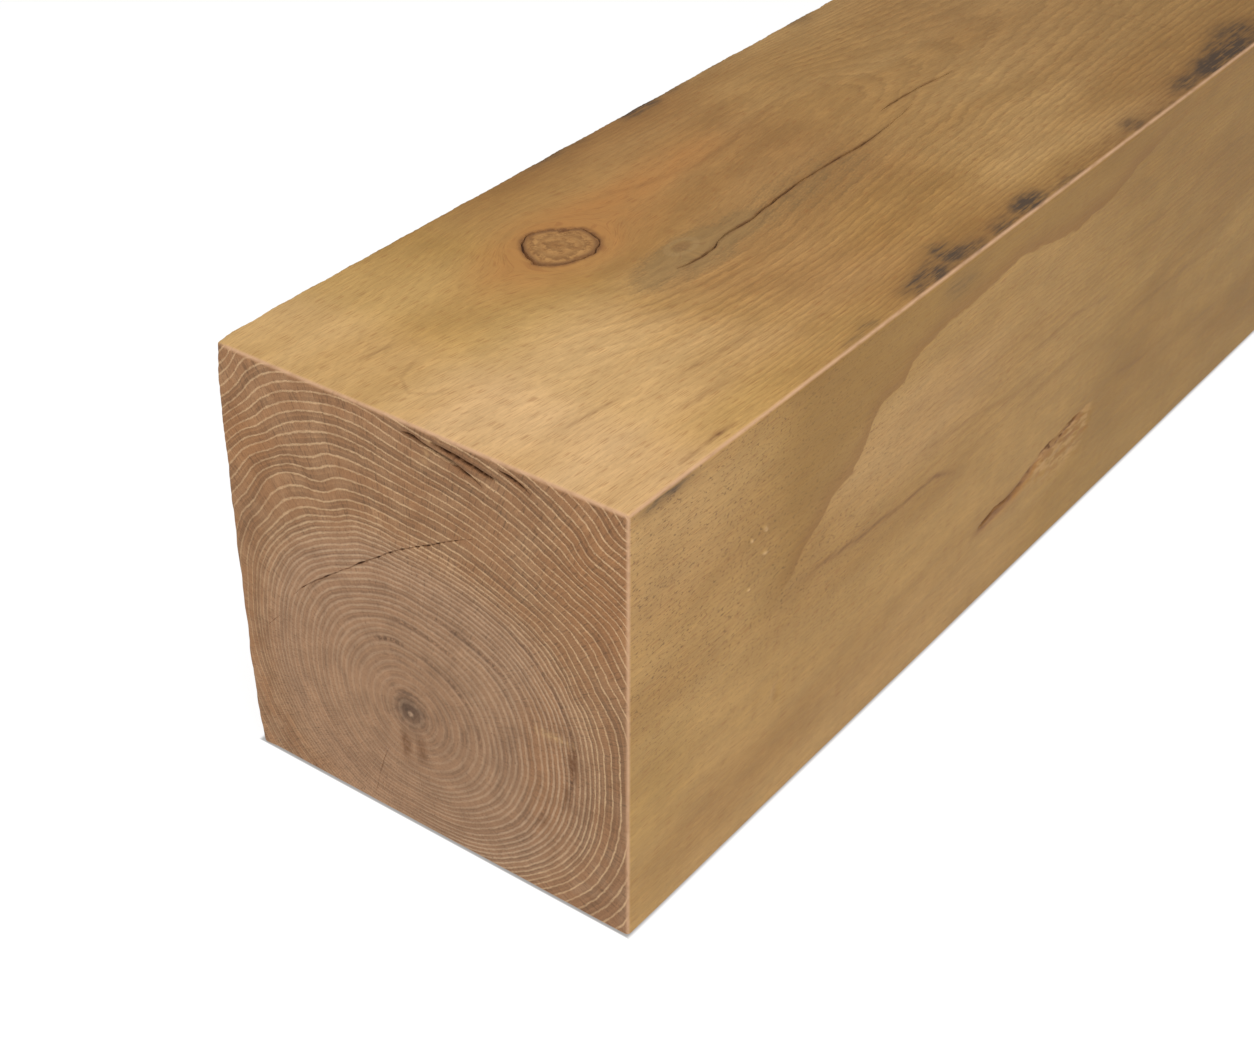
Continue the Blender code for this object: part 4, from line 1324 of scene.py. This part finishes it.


def build_floor():
    """A plain pale floor under the post, with a painted contact shadow: a little darker right
    beside it.
    """
    bpy.ops.mesh.primitive_plane_add(size=FLOOR_SIZE, location=(0, FLOOR_MIDDLE, -FLOOR_DROP))
    floor = bpy.context.object
    floor.name = "floor"
    material = bpy.data.materials.new("pale_floor")
    g = Graph(material)
    x, y, _ = g.parts(g.node('ShaderNodeTexCoord', {}, 'Object'))
    away = g.largest(g.math('ABSOLUTE', x) - HALF_WIDTH * MM,
                     (g.math('ABSOLUTE', y + FLOOR_MIDDLE) - LENGTH * MM / 2) * 3.0)
    g.shader.inputs["Base Color"].default_value = (0.22, 0.22, 0.22, 1.0)
    g.shader.inputs["Roughness"].default_value = 0.9
    g.shader.inputs["Specular IOR Level"].default_value = 0.1
    g.shader.inputs["Emission Color"].default_value = (1.0, 1.0, 1.0, 1.0)
    # Painted contact shadow: the floor glows less right beside the post
    g.plug(g.ramp(away, -0.0012, CONTACT_SHADE, 0.3, 0.86), g.shader.inputs["Emission Strength"])
    floor.data.materials.append(material)


def add_area_light(name, place, target, size, power, colour=(1.0, 1.0, 1.0)):
    """A soft square light that faces a target."""
    data = bpy.data.lights.new(name, 'AREA')
    data.shape = 'SQUARE'
    data.size = size
    data.energy = power
    data.color = colour
    light = bpy.data.objects.new(name, data)
    bpy.context.scene.collection.objects.link(light)
    light.location = place
    light.rotation_euler = (Vector(target) - Vector(place)).to_track_quat('-Z', 'Y').to_euler()


def build_lights():
    """Soft studio light: a large key above the front end, a weak fill and a white room."""
    add_area_light("key", (0.22, -0.82, 1.05), (0.0, -0.50, 0.10), 0.7, 8.0)
    add_area_light("fill", (1.6, -0.9, 0.9), (0.05, -0.3, 0.07), 1.4, 7.5)
    world = bpy.data.worlds.new("studio")
    bpy.context.scene.world = world
    world.use_nodes = True
    background = world.node_tree.nodes["Background"]
    background.inputs["Color"].default_value = (1.0, 1.0, 1.0, 1.0)
    background.inputs["Strength"].default_value = 0.38


# The camera, solved from the corners and edges of the post in the photo
CAMERA_PLACE = (0.3493, -0.9666, 0.4639)
CAMERA_YAW = 36.802
CAMERA_PITCH = 34.517
CAMERA_ROLL = 0.029
CAMERA_LENS = 62.52
SENSOR = 36.0


def build_camera():
    """The camera that sees the post as the photo does."""
    data = bpy.data.cameras.new("camera")
    data.lens = CAMERA_LENS
    data.sensor_width = SENSOR
    data.clip_start = 0.01
    camera = bpy.data.objects.new("camera", data)
    bpy.context.scene.collection.objects.link(camera)
    camera.location = CAMERA_PLACE
    turn = Euler((math.radians(90 - CAMERA_PITCH), 0.0, math.radians(CAMERA_YAW)), 'XYZ')
    roll = Euler((0.0, 0.0, math.radians(CAMERA_ROLL)), 'XYZ')
    camera.rotation_euler = (turn.to_matrix() @ roll.to_matrix()).to_euler()
    bpy.context.scene.camera = camera


build_camera()
build_floor()
build_lights()
bpy.context.scene.view_settings.view_transform = 'Standard'

wood = build_wood()
wood.data.materials.append(wood_material())
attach(wood, "root")
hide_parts("oak_post")
